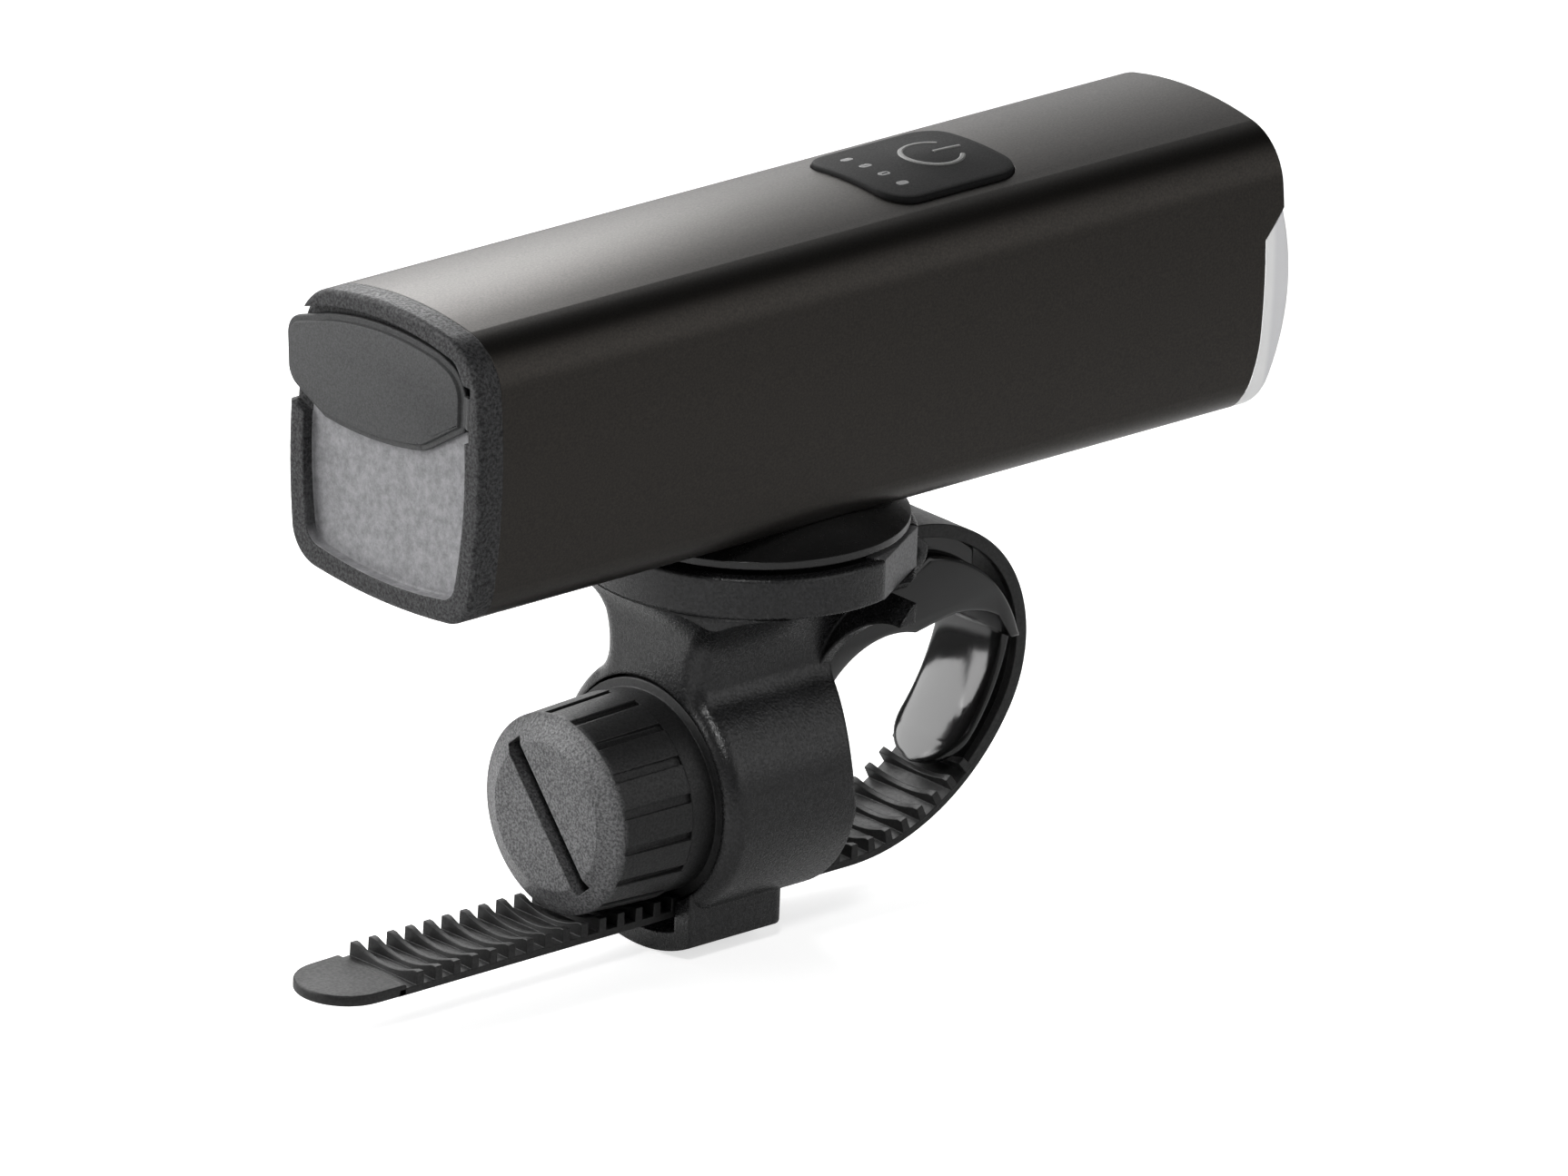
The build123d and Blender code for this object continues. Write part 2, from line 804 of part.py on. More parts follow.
def make_switch_plunger():
    """Plunger of the push switch, with room to sink under it."""
    low_z = driver_top_z + switch_height / 2 + button_travel + run_gap
    return rod_z(low_z, switch_plunger_top_z(), plunger_radius, button_dome_x)


def make_indicator_leds():
    """Four level lamps on the driver board, one under each window."""
    lamps = []
    for y in window_places():
        lamps.append(block(
            window_x - level_lamp_length / 2, window_x + level_lamp_length / 2,
            y - level_lamp_width / 2, y + level_lamp_width / 2,
            driver_top_z, driver_top_z + level_lamp_height,
        ))
    return Compound(lamps)


def window_prism(y, grow):
    """One level window, grown by a margin, through the button's skin."""
    face = SlotOverall(window_length + 2 * grow, window_width + 2 * grow)
    low_z = lamp_top_z - housing_wall - button_flange_thick - overrun
    height = housing_wall + button_proud + 2 * overrun
    return extrude(Pos(window_x, y, low_z) * face, amount=height, dir=upward)


def make_power_button():
    """Silicone button with a raised dome, a flange under the wall and a post over the switch."""
    body = button_prism(0, lamp_z, lamp_top_z + overrun)
    body = body & lamp_prism(seam_x, brow_x, -button_proud)
    body = fillet(body.faces().sort_by(Axis.Z)[-1].edges(), button_round)
    dome_top = lamp_top_z + button_proud + button_dome_height
    dome_base = lamp_top_z + button_proud - button_round
    rise = dome_top - dome_base
    ball_radius = (button_dome_radius ** 2 + rise ** 2) / (2 * rise)
    ball = Pos(button_dome_x, 0, dome_top - ball_radius) * Sphere(ball_radius)
    body += ball & rod_z(lamp_z + lamp_height / 4, dome_top, button_dome_radius, button_dome_x)
    wall_inner = lamp_prism(seam_x, brow_x, housing_wall + run_gap)
    flange_inner = lamp_prism(seam_x, brow_x, housing_wall + run_gap + button_flange_thick)
    skirt = button_prism(button_flange, lamp_z, lamp_top_z) & wall_inner
    body += skirt
    body -= flange_inner & button_prism(overrun, lamp_z - lamp_height / 2, lamp_top_z)
    hollow_top = lamp_top_z + button_proud - button_skin - top_crown / 2
    body -= button_prism(-button_skin * 2, lamp_z, hollow_top)
    post_low = switch_plunger_top_z() + fit_gap
    body += rod_z(post_low, hollow_top + button_skin / 2, button_post_radius, button_dome_x)
    for y in window_places():
        body -= window_prism(y, fit_gap)
    return body


def make_charge_windows():
    """Four clear windows for the level lamps, flush with the button's face."""
    windows = []
    face_z = lamp_top_z + button_proud
    for y in window_places():
        bar = window_prism(y, 0) & lamp_prism(seam_x, brow_x, -button_proud)
        low_z = face_z - button_skin - housing_wall / 2
        windows.append(bar & block(seam_x, brow_x, -lamp_width, lamp_width, low_z, face_z))
    return Compound(windows)


def make_heat_block():
    """Turned and milled aluminium block that takes the emitters' heat to the housing."""
    body = lamp_prism(heat_x, heat_x + heat_length, housing_wall + fit_gap)
    return body - rod_x(heat_x - overrun, heat_x + heat_core_depth, heat_core_radius, 0, lamp_z)


def led_places():
    """Heights of the two emitters."""
    return [lamp_z - led_pitch / 2, lamp_z + led_pitch / 2]


def led_face_x():
    """Front face of the emitter board."""
    return heat_x + heat_length + led_board_thick


def make_led_board():
    """Metal-core board with the outline of the body's inside."""
    x_low = heat_x + heat_length
    board = lamp_prism(x_low, x_low + led_board_thick, housing_wall + led_board_inset)
    for side in (-1, 1):
        notch_y = side * lamp_width / 2
        board -= rod_x(x_low - overrun, x_low + led_board_thick + overrun, led_size, notch_y, lamp_z)
    return board


def make_led_emitters():
    """Two square emitters, each with its raised phosphor window."""
    emitters = []
    x_low = led_face_x()
    half = led_size / 2
    for z in led_places():
        chip = block(x_low, x_low + led_height, -half, half, z - half, z + half)
        pad_high = x_low + led_height + led_window_height
        window = block(
            x_low, pad_high,
            -led_window_half, led_window_half,
            z - led_window_half, z + led_window_half,
        )
        emitters.append(chip + window)
    return Compound(emitters)


def make_reflector():
    """Moulded block with two bright cups, one over each emitter."""
    x_low = led_face_x() + led_height + reflector_gap
    x_high = x_low + reflector_length
    body = lamp_prism(x_low, x_high, reflector_wall_inset)
    belly = (cup_mouth_radius * cup_belly_radius_share, x_low + reflector_length * cup_belly_share)
    profile = make_face([
        Line((0, x_low - overrun), (cup_throat_radius, x_low - overrun)),
        Line((cup_throat_radius, x_low - overrun), (cup_throat_radius, x_low)),
        ThreePointArc((cup_throat_radius, x_low), belly, (cup_mouth_radius, x_high)),
        Line((cup_mouth_radius, x_high), (cup_mouth_radius, x_high + overrun)),
        Line((cup_mouth_radius, x_high + overrun), (0, x_high + overrun)),
        Line((0, x_high + overrun), (0, x_low - overrun)),
    ])
    cup = revolve(Plane.XZ * profile, Axis.Z)
    for z in led_places():
        body -= Pos(0, 0, z) * Rot(0, quarter_turn, 0) * cup
    return body


def make_lamp_foot():
    """Swivel foot: a disc shaped to the lamp's belly, with a grooved plug below."""
    top_z = foot_low_z + foot_rim + foot_slope_rise
    seat_z = cover_low_z + cover_thick + fit_gap
    groove_radius = plug_radius - plug_groove_depth
    profile = make_face(Polyline(
        (0, plug_low_z),
        (plug_radius, plug_low_z),
        (plug_radius, cup_floor_z - fit_gap),
        (groove_radius, cup_floor_z - fit_gap),
        (groove_radius, cover_low_z),
        (plug_radius, cover_low_z),
        (plug_radius, seat_z),
        (cup_radius - shoulder_setback, seat_z),
        (cup_radius - shoulder_setback, foot_low_z),
        (foot_radius, foot_low_z),
        (foot_radius, foot_low_z + foot_rim),
        (foot_radius - foot_slope_run, top_z),
        (0, top_z),
        (0, plug_low_z),
    ))
    body = Pos(swivel_x, 0, 0) * revolve(Plane.XZ * profile, Axis.Z)
    body -= lamp_prism(seam_x, brow_x, -foot_seat_gap)
    for x in foot_screw_places():
        body -= rod_z(plug_low_z - overrun, lamp_z, foot_screw_radius + fit_gap, x)
        head = foot_screw_head + fit_gap
        sink = head - foot_screw_radius
        body -= Pos(x, 0, plug_low_z + sink / 2) * Cone(head, foot_screw_radius, sink)
    return body


def make_foot_screws():
    """Two countersunk screws that hold the foot to the housing."""
    screws = []
    top_z = lamp_z - lamp_height / 2 + housing_wall - foot_screw_top_gap
    sink = foot_screw_head - foot_screw_radius
    for x in foot_screw_places():
        low_z = plug_low_z + fit_gap
        head = Pos(x, 0, low_z + sink / 2) * Cone(foot_screw_head, foot_screw_radius, sink)
        shank = rod_z(low_z + sink, top_z, foot_screw_radius, x)
        hexagon = RegularPolygon(foot_screw_radius * foot_screw_drive_share, 6)
        screws.append(head + shank - extrude(Pos(x, 0, low_z) * hexagon, amount=sink, dir=upward))
    return Compound(screws)


def release_place(distance=0):
    """A place out from the swivel axis along the release direction."""
    angle = math.radians(release_angle)
    x = swivel_x + distance * math.cos(angle)
    y = distance * math.sin(angle)
    return Pos(x, y, 0) * Rot(0, 0, release_angle)


def release_block(out_low, out_high, half_width, z_low, z_high):
    """A box laid out along the release direction."""
    return release_place() * block(out_low, out_high, -half_width, half_width, z_low, z_high)


def make_release_slider():
    """Latch plate: its hole edge sits in the plug's groove, its tab shows on the ring."""
    low_z = cup_floor_z + fit_gap
    high_z = low_z + slider_thick
    reach = cup_radius - slider_guide_gap
    plate = rod_z(low_z, high_z, reach, swivel_x)
    plate = plate & (release_place(release_travel) * rod_z(low_z, high_z, reach))
    plate = plate & release_block(-release_back, ring_radius, ring_radius, low_z, high_z)
    tab_high_z_place = ring_high_z - fit_gap
    inner = release_face - release_tab_depth
    plate += release_block(inner, release_face, release_half_width, low_z, tab_high_z_place)
    foot_inner = release_face - release_foot_depth
    foot_low = ring_low_z + run_gap
    plate += release_block(foot_inner, release_face, release_half_width, foot_low, high_z)
    hole = rod_z(low_z - overrun, high_z + overrun, plug_radius + release_hole_gap)
    return plate - release_place(release_hole_shift) * hole


def make_latch_spring():
    """Thin bow leaf between the latch plate and the ring's wall."""
    low_z = cup_floor_z + fit_gap + (slider_thick - leaf_height) / 2
    crown = -release_back - fit_gap
    start = crown - leaf_rise
    half = leaf_half_span
    outer = ThreePointArc((start, -half), (crown, 0), (start, half))
    inner_start = start - leaf_thick
    inner = ThreePointArc((inner_start, half), (crown - leaf_thick, 0), (inner_start, -half))
    sides = [
        Line((start, half), (inner_start, half)),
        Line((inner_start, -half), (start, -half)),
    ]
    face = make_face([outer, sides[0], inner, sides[1]])
    return release_place() * extrude(Pos(0, 0, low_z) * face, amount=leaf_height, dir=upward)


def make_ring_cover():
    """Annular cover that snaps into the ring over the latch plate."""
    radius = cup_radius + cover_ledge - fit_gap
    high_z = cover_low_z + cover_thick
    body = rod_z(cover_low_z, high_z, radius, swivel_x)
    body -= rod_z(cover_low_z - overrun, high_z + overrun, plug_radius + cover_bore_gap, swivel_x)
    inner = release_face - release_tab_depth - release_travel - run_gap
    half = release_half_width + run_gap
    return body - release_block(inner, ring_radius, half, cover_low_z - overrun, high_z + overrun)


def barrel_outline():
    """Barrel and neck as seen from the front, with the concave shoulders and the flare above."""
    flare_y = neck_half_width + neck_flare
    flare_low_z = ring_low_z - neck_flare
    half = ThreePointArc(
        (neck_half_width, flare_low_z),
        (flare_y - neck_flare * corner_share, flare_low_z + neck_flare * corner_share),
        (flare_y, ring_low_z),
    )
    path = [
        Line((0, neck_low_z), (neck_half_width, neck_low_z)),
        Line((neck_half_width, neck_low_z), (neck_half_width, flare_low_z)),
        half,
        Line((flare_y, ring_low_z), (0, ring_low_z)),
        Line((0, ring_low_z), (0, neck_low_z)),
    ]
    right = make_face(path)
    neck = right + mirror(right, Plane.YZ)
    outline = neck + Pos(0, barrel_z) * Circle(barrel_radius)
    waist = [v for v in outline.vertices() if neck_low_z < v.Y < flare_low_z - neck_flare / 4]
    return fillet(waist, neck_shoulder)


def front_flare_region():
    """What lies behind the neck's front face, which sweeps ahead to the ring above."""
    low_z = ring_low_z - neck_front_flare
    reach_x = neck_front_x - neck_front_flare
    far_x = saddle_x
    deep_z = barrel_z - guide_radius - overrun
    middle = (
        reach_x + neck_front_flare * corner_share,
        low_z + neck_front_flare * corner_share,
    )
    path = [
        Line((far_x, deep_z), (neck_front_x, deep_z)),
        Line((neck_front_x, deep_z), (neck_front_x, low_z)),
        ThreePointArc((neck_front_x, low_z), middle, (reach_x, ring_low_z)),
        Line((reach_x, ring_low_z), (far_x, ring_low_z)),
        Line((far_x, ring_low_z), (far_x, deep_z)),
    ]
    return side_prism(make_face(path), -ring_radius, ring_radius)


def is_neck_corner(edge):
    """Whether an edge is one of the two upright corners between the neck's front and its sides."""
    middle = edge.center()
    low_z = neck_low_z + neck_shoulder
    upright = low_z < middle.Z < ring_low_z - fit_gap
    ahead_of_swivel = middle.X < neck_front_x + fit_gap
    return upright and ahead_of_swivel and abs(middle.Y) > neck_half_width - fit_gap


def wing_outline():
    """The bar seat's flange as seen from the front, which spreads out under the ring."""
    start_y = neck_half_width
    arc_low_z = wing_low_z
    path = [
        Line((0, barrel_z), (start_y, barrel_z)),
        Line((start_y, barrel_z), (start_y, arc_low_z)),
        ThreePointArc(
            (start_y, arc_low_z),
            (start_y + wing_flare - wing_flare * corner_share, arc_low_z + wing_flare * corner_share),
            (start_y + wing_flare, arc_low_z + wing_flare),
        ),
        Line((start_y + wing_flare, arc_low_z + wing_flare), (wing_half_width, arc_low_z + wing_flare)),
        Line((wing_half_width, arc_low_z + wing_flare), (wing_half_width, ring_low_z)),
        Line((wing_half_width, ring_low_z), (0, ring_low_z)),
        Line((0, ring_low_z), (0, barrel_z)),
    ]
    right = make_face(path)
    return right + mirror(right, Plane.YZ)


def saddle_rod(radius, half_width):
    """A round bar on the bar seat's axis."""
    return rod_y(-half_width, half_width, radius, saddle_x, saddle_z)


def make_bracket_body():
    """Ring cup, neck, worm barrel, band guide and bar seat in one moulding."""
    length = saddle_x - neck_front_x + neck_front_flare
    face = Pos(neck_front_x - neck_front_flare, 0, 0) * (Plane.YZ * barrel_outline())
    body = extrude(face, amount=length, dir=ahead)
    body = body & front_flare_region()
    footprint = rod_z(neck_low_z, ring_low_z, ring_radius, swivel_x)
    lower_low_z = barrel_z - guide_radius
    lower_high_z = neck_low_z + neck_flare
    lower = block(neck_front_x, barrel_end_x, -ring_radius, ring_radius, lower_low_z, lower_high_z)
    body = body & (footprint + lower)
    front = [e for e in body.edges() if is_neck_corner(e)]
    body = fillet(front, neck_corner)
    wing = Pos(barrel_end_x - wing_half_width, 0, 0) * (Plane.YZ * wing_outline())
    wing = extrude(wing, amount=length, dir=ahead)
    wing = wing & saddle_rod(saddle_radius + wing_thick, ring_radius)
    wing -= saddle_rod(saddle_radius, ring_radius + overrun)
    wing = wing & block(neck_front_x, wing_end_x, -ring_radius, ring_radius, barrel_z, ring_low_z)
    body += wing
    guide = rod_x(neck_front_x, guide_end_x, guide_radius, 0, barrel_z)
    guide = guide & block(
        neck_front_x, guide_end_x, -guide_half_width, guide_half_width, barrel_z - guide_radius, barrel_z
    )
    rear_edges = [e for e in guide.edges() if e.center().X > guide_end_x - guide_corner]
    rear_edges = [e for e in rear_edges if e.center().Z < barrel_z - guide_corner]
    guide = fillet(rear_edges, guide_corner)
    body += guide
    body -= saddle_rod(saddle_radius, ring_radius + overrun)
    body -= block(barrel_end_x, saddle_x, -ring_radius, ring_radius, barrel_z - guide_radius, barrel_z)

    ring = rod_z(ring_low_z, ring_high_z, ring_radius, swivel_x)
    ring = fillet(ring.edges().filter_by(GeomType.CIRCLE), ring_edge)
    body += ring
    body -= rod_z(cup_floor_z, ring_high_z + overrun, cup_radius, swivel_x)
    body -= rod_z(cover_low_z - fit_gap, ring_high_z + overrun, cup_radius + cover_ledge, swivel_x)
    body -= rod_z(ring_low_z + pit_floor, cup_floor_z + overrun, plug_radius + pit_margin, swivel_x)

    eye_z = band_eye_z()
    lug_half = slot_half_width + lug_wall
    lug = rod_y(-lug_half, lug_half, lug_radius, eye_x, eye_z)
    lug += block(eye_x - lug_radius, eye_x + lug_radius, -lug_half, lug_half, eye_z, ring_low_z + run_gap)
    body += lug
    body -= block(
        eye_x - eye_radius - soft_gap, saddle_x,
        -slot_half_width, slot_half_width,
        eye_z - eye_radius - overrun, eye_z + eye_radius + soft_gap,
    )
    body -= rod_y(-lug_half - overrun, lug_half + overrun, pin_radius + fit_gap, eye_x, eye_z)

    window_inner = release_face - release_foot_depth - release_travel - run_gap
    window_half = release_half_width + run_gap
    body -= release_block(window_inner, ring_radius + overrun, window_half, ring_low_z, ring_high_z + overrun)

    body -= rod_x(neck_front_x - overrun, bore_end_x, bore_radius, 0, barrel_z)
    web_x = bore_end_x + barrel_web
    body -= rod_x(bore_end_x - overrun, web_x + overrun, spindle_radius + run_gap, 0, barrel_z)
    body -= rod_x(web_x, saddle_x, screw_pocket_radius, 0, barrel_z)
    slot_low = barrel_z - guide_floor_radius
    slot = rod_x(neck_front_x - overrun, saddle_x, guide_floor_radius, 0, barrel_z)
    slot = slot & block(
        neck_front_x - overrun, saddle_x,
        -slot_half_width, slot_half_width,
        slot_low, slot_top_z,
    )
    body -= slot
    recess = saddle_rod(saddle_radius + saddle_recess, saddle_recess_half_width)
    recess = recess & block(
        neck_front_x, saddle_x,
        -saddle_recess_half_width, saddle_recess_half_width,
        saddle_recess_low_z, saddle_recess_high_z,
    )
    return body - recess


def make_worm_knob():
    """Knob and worm in one moulding: a coin slot, grip grooves, a helical thread and a spindle."""
    chamfer_x = knob_front_x + knob_chamfer
    profile = make_face(Polyline(
        (0, knob_front_x),
        (knob_face_radius, knob_front_x),
        (knob_front_radius, chamfer_x),
        (knob_rear_radius, knob_rear_x),
        (worm_root, knob_rear_x),
        (worm_root, bore_end_x - worm_end_gap),
        (spindle_radius, bore_end_x - worm_end_gap),
        (spindle_radius, bore_end_x + barrel_web + fit_gap),
        (0, bore_end_x + barrel_web + fit_gap),
        (0, knob_front_x),
    ))
    body = revolve(Plane.XZ * profile, Axis.Z)
    half = groove_width / 2
    groove_low = chamfer_x + groove_setback
    for i in range(groove_count):
        groove = block(
            knob_front_radius - groove_depth, knob_rear_radius + overrun,
            -half, half,
            groove_low, knob_rear_x + groove_setback,
        )
        body -= Rot(0, 0, i * 2 * half_turn / groove_count) * groove
    core_low = bore_end_x - worm_core_depth
    core = rod_z(core_low, bore_end_x, worm_core_radius) - rod_z(core_low, bore_end_x, worm_hub_radius)
    body -= core
    body -= rod_z(bore_end_x - knob_screw_length, 0, knob_screw_radius + fit_gap)
    body = Pos(0, 0, barrel_z) * Rot(0, quarter_turn, 0) * body
    slot = block(
        knob_front_x - overrun, knob_front_x + coin_slot_depth,
        -coin_slot_half_length, coin_slot_half_length,
        -coin_slot_width / 2, coin_slot_width / 2,
    )
    body -= Pos(0, 0, barrel_z) * Rot(coin_slot_angle, 0, 0) * slot
    return body + make_thread()


def make_thread():
    """The worm's helical ridge, set so that the band's teeth lie between its turns."""
    mesh_x = first_tooth_x + tooth_pitch / 2
    lead = worm_start_x + worm_root_width / 2 - mesh_x
    first_x = mesh_x + math.ceil(lead / tooth_pitch) * tooth_pitch
    last_x = bore_end_x - worm_end_gap - worm_root_width / 2
    turn_count = math.floor((last_x - first_x) / tooth_pitch)
    height = turn_count * tooth_pitch
    root = worm_root - fit_gap * 2
    path = Helix(tooth_pitch, height, root)
    start = Plane(origin=path @ 0, x_dir=(1, 0, 0), z_dir=path % 0)
    section = make_face(Polyline(
        (0, -worm_root_width / 2),
        (worm_crest - root, -worm_crest_width / 2),
        (worm_crest - root, worm_crest_width / 2),
        (0, worm_root_width / 2),
        (0, -worm_root_width / 2),
    ))
    ridge = sweep(start * section, path=path, is_frenet=True)
    return Pos(first_x, 0, barrel_z) * Rot(0, quarter_turn, 0) * ridge


def make_knob_screw():
    """Screw that keeps the worm in its barrel."""
    head_low = bore_end_x + barrel_web + 2 * fit_gap + knob_washer_thick
    head = rod_x(head_low, head_low + knob_screw_head_length, knob_screw_head, 0, barrel_z)
    shank_low = bore_end_x - knob_screw_length + run_gap
    shank = rod_x(shank_low, head_low, knob_screw_radius, 0, barrel_z)
    drive = block(
        head_low + knob_screw_head_length / 2, head_low + 2 * knob_screw_head_length,
        -knob_screw_head, knob_screw_head,
        barrel_z - knob_screw_radius / 4, barrel_z + knob_screw_radius / 4,
    )
    return head + shank - drive


def make_knob_washer():
    """Washer between the spindle's end and the screw's head."""
    x_low = bore_end_x + barrel_web + 2 * fit_gap
    ring = rod_x(x_low, x_low + knob_washer_thick - fit_gap, knob_washer_radius, 0, barrel_z)
    return ring - rod_x(x_low - overrun, x_low + overrun, knob_screw_radius + fit_gap, 0, barrel_z)


def band_spans():
    """Centre, outer radius, starting heading and turn of each of the band's three arcs."""
    spans = []
    x = band_bend_x
    z = band_low_z
    heading = 0
    for radius, turn in (
        (band_radius_low, band_angle_low),
        (band_radius_front, band_angle_front),
        (band_radius_top, None),
    ):
        facing = math.radians(heading)
        centre = (x - radius * math.sin(facing), z + radius * math.cos(facing))
        if turn is None:
            eye_facing = math.asin((eye_x - centre[0]) / (radius - eye_radius))
            turn = half_turn - math.degrees(eye_facing) - heading
        spans.append((centre, radius, heading, turn))
        heading += turn
        facing = math.radians(heading)
        x = centre[0] + radius * math.sin(facing)
        z = centre[1] - radius * math.cos(facing)
    return spans


def band_eye_z():
    """Height of the band's eye, which hangs inside the end of the last arc."""
    centre, radius, heading, turn = band_spans()[-1]
    return centre[1] + math.sqrt((radius - eye_radius) ** 2 - (eye_x - centre[0]) ** 2)


def arc_band(centre, radius, thick, start, turn, y_low, y_high):
    """A curved strip inside an outer radius, from a start angle over a turn."""
    first = start - quarter_turn
    outer = CenterArc(centre, radius, first, turn)
    inner = CenterArc(centre, radius - thick, first, turn)
    path = [outer, Line(outer @ 1, inner @ 1), inner, Line(inner @ 0, outer @ 0)]
    return side_prism(make_face(path), y_low, y_high)


def tooth():
    """One cross rib of the band, hollowed to the worm, with its foot at height zero."""
    half = band_width / 2
    rib = block(-tooth_length / 2, tooth_length / 2, -half, half, 0, tooth_height)
    return rib - rod_x(-tooth_length, tooth_length, tooth_hollow_radius, 0, barrel_z - band_low_z)


def make_strap():
    """Toothed band: a smooth tail, cross ribs, then raised edges round the bar up to its eye."""
    half = band_width / 2
    tail_x = tail_tip_x + half
    top_z = band_low_z + band_base
    body = block(tail_x, band_bend_x, -half, half, band_low_z, top_z)
    tail = rod_z(band_low_z, band_low_z + tail_thick, half, tail_x)
    tail += block(tail_x, tail_step_x, -half, half, band_low_z, band_low_z + tail_thick)
    body += tail
    for centre, radius, heading, turn in band_spans():
        body += arc_band(centre, radius, band_base, heading, turn, -half, half)
    centre, radius, heading, turn = band_spans()[0]
    wall_spans = [(centre, radius, last_tooth_angle, turn - last_tooth_angle)]
    wall_spans += [(c, r, h, t) for c, r, h, t in band_spans()[1:]]
    for c, r, start, span in wall_spans:
        body += arc_band(c, r, band_wall_height, start, span, half - band_wall_width, half)
        body += arc_band(c, r, band_wall_height, start, span, -half, band_wall_width - half)
    rib = tooth()
    straight_count = math.floor((band_bend_x - first_tooth_x) / tooth_pitch) + 1
    ribs = [Pos(first_tooth_x + i * tooth_pitch, 0, band_low_z) * rib for i in range(straight_count)]
    pitch_radius = band_radius_low - band_base / 2
    lead = first_tooth_x + straight_count * tooth_pitch - band_bend_x
    turned = math.degrees(lead / pitch_radius)
    step = math.degrees(tooth_pitch / pitch_radius)
    while turned < last_tooth_angle:
        place = Pos(centre[0], 0, centre[1]) * Rot(0, -turned, 0) * Pos(0, 0, -band_radius_low)
        ribs.append(place * rib)
        turned += step
    for one in ribs:
        body += one
    eye_z = band_eye_z()
    body += rod_y(-half, half, eye_radius, eye_x, eye_z)
    return body - rod_y(-half - overrun, half + overrun, pin_radius + fit_gap, eye_x, eye_z)


def make_strap_pin():
    """Steel pin through the bracket's lugs and the band's eye."""
    half = slot_half_width + lug_wall
    return rod_y(-half, half, pin_radius, eye_x, band_eye_z())


def make_bar_pad():
    """Rubber pad: a lining on the bar seat, a block over the bar and a tongue inside the band."""
    seat = saddle_radius + saddle_recess - fit_gap
    lower = math.radians(pad_end_angle)
    upper = math.radians(pad_start_angle)
    low_inner = (pad_bore_radius * math.cos(lower), pad_bore_radius * math.sin(lower))
    high_inner = (pad_bore_radius * math.cos(upper), pad_bore_radius * math.sin(upper))
    low_z = saddle_recess_low_z + fit_gap
    low_outer = (saddle_x - math.sqrt(seat ** 2 - (low_z - saddle_z) ** 2), low_z)
    high_outer = (saddle_x - math.sqrt(seat ** 2 - (pad_top_z - saddle_z) ** 2), pad_top_z)
    crest = (pad_crest_x, pad_crest_z)
    nose = (pad_nose_x, pad_nose_z)
    under = (pad_under_x, pad_under_z)
    under_mid = (pad_under_mid_x, pad_under_mid_z)
    inner_nose = (pad_nose_x - tongue_thick, pad_nose_z)
    path = [
        Line(high_outer, (pad_step_x, pad_top_z)),
        Line((pad_step_x, pad_top_z), crest),
        ThreePointArc(crest, (pad_brow_x, pad_brow_z), nose),
        Line(nose, inner_nose),
        Line(inner_nose, under),
        Line(under, under_mid),
        Line(under_mid, high_inner),
        ThreePointArc(high_inner, (-pad_bore_radius, 0), low_inner),
        Line(low_inner, low_outer),
        ThreePointArc(low_outer, (saddle_x - seat, saddle_z), high_outer),
    ]
    body = side_prism(make_face(path), -pad_half_width, pad_half_width)
    outer = ThreePointArc(nose, (tongue_mid_x, tongue_mid_z), (tongue_end_x, tongue_end_z))
    centre = outer.arc_center
    radius = outer.radius
    share = (radius - tongue_thick) / radius
    inner_points = [
        (centre.X + (p.X - centre.X) * share, centre.Y + (p.Y - centre.Y) * share)
        for p in (outer @ 0, outer @ 0.5, outer @ 1)
    ]
    inner = ThreePointArc(inner_points[2], inner_points[1], inner_points[0])
    path = [outer, Line(outer @ 1, inner @ 0), inner, Line(inner @ 1, outer @ 0)]
    tongue = side_prism(make_face(path), -tongue_half_width, tongue_half_width)
    end = Vector(tongue_end_x, 0, tongue_end_z)
    tips = [e for e in tongue.edges() if (e.center() - end).length < tongue_half_width + tongue_thick]
    tips = [e for e in tips if e.length < 2 * tongue_thick]
    tongue = fillet(tips, tongue_half_width * tongue_tip_share)
    return body + tongue + pad_rib()


def pad_rib():
    """Ridge on the pad's back that fills the channel between the band's raised edges."""
    centre, radius, heading, turn = band_spans()[-1]
    half = band_width / 2 - band_wall_width - soft_gap
    disc = rod_y(-half, half, radius - band_base - soft_gap, centre[0], centre[1])
    return disc & block(pad_crest_x, pad_rib_x, -half, half, pad_brow_z - tongue_thick, ring_low_z)


builders = {
    "housing": make_housing,
    "rear_cap": make_rear_cap,
    "cap_gasket": lambda: seal_ring(seam_x + seal_setback, fit_gap / 2, seal_depth),
    "cap_screws": make_cap_screws,
    "charge_flap": make_charge_flap,
    "usb_port": make_usb_port,
    "charge_board": make_charge_board,
    "lens": make_lens,
    "lens_gasket": lambda: seal_ring(lens_plug_x + lens_seal_lead, fit_gap / 2, seal_depth),
    "reflector": make_reflector,
    "led_board": make_led_board,
    "led_emitters": make_led_emitters,
    "heat_block": make_heat_block,
    "battery_cell": make_battery_cell,
    "battery_tray": make_battery_tray,
    "battery_tabs": make_battery_tabs,
    "control_board": make_control_board,
    "switch_body": make_switch_body,
    "switch_plunger": make_switch_plunger,
    "power_button": make_power_button,
    "charge_windows": make_charge_windows,
    "indicator_leds": make_indicator_leds,
    "lamp_foot": make_lamp_foot,
    "foot_screws": make_foot_screws,
    "bracket_body": make_bracket_body,
    "ring_cover": make_ring_cover,
    "release_slider": make_release_slider,
    "latch_spring": make_latch_spring,
    "worm_knob": make_worm_knob,
    "knob_screw": make_knob_screw,
    "knob_washer": make_knob_washer,
    "strap": make_strap,
    "strap_pin": make_strap_pin,
    "bar_pad": make_bar_pad,
}

for name, builder in builders.items():
    export_step(builder(), "parts/" + name + ".step")
    print("wrote", name)
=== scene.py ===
import math

import bmesh
import bpy
from mathutils import Matrix, Vector


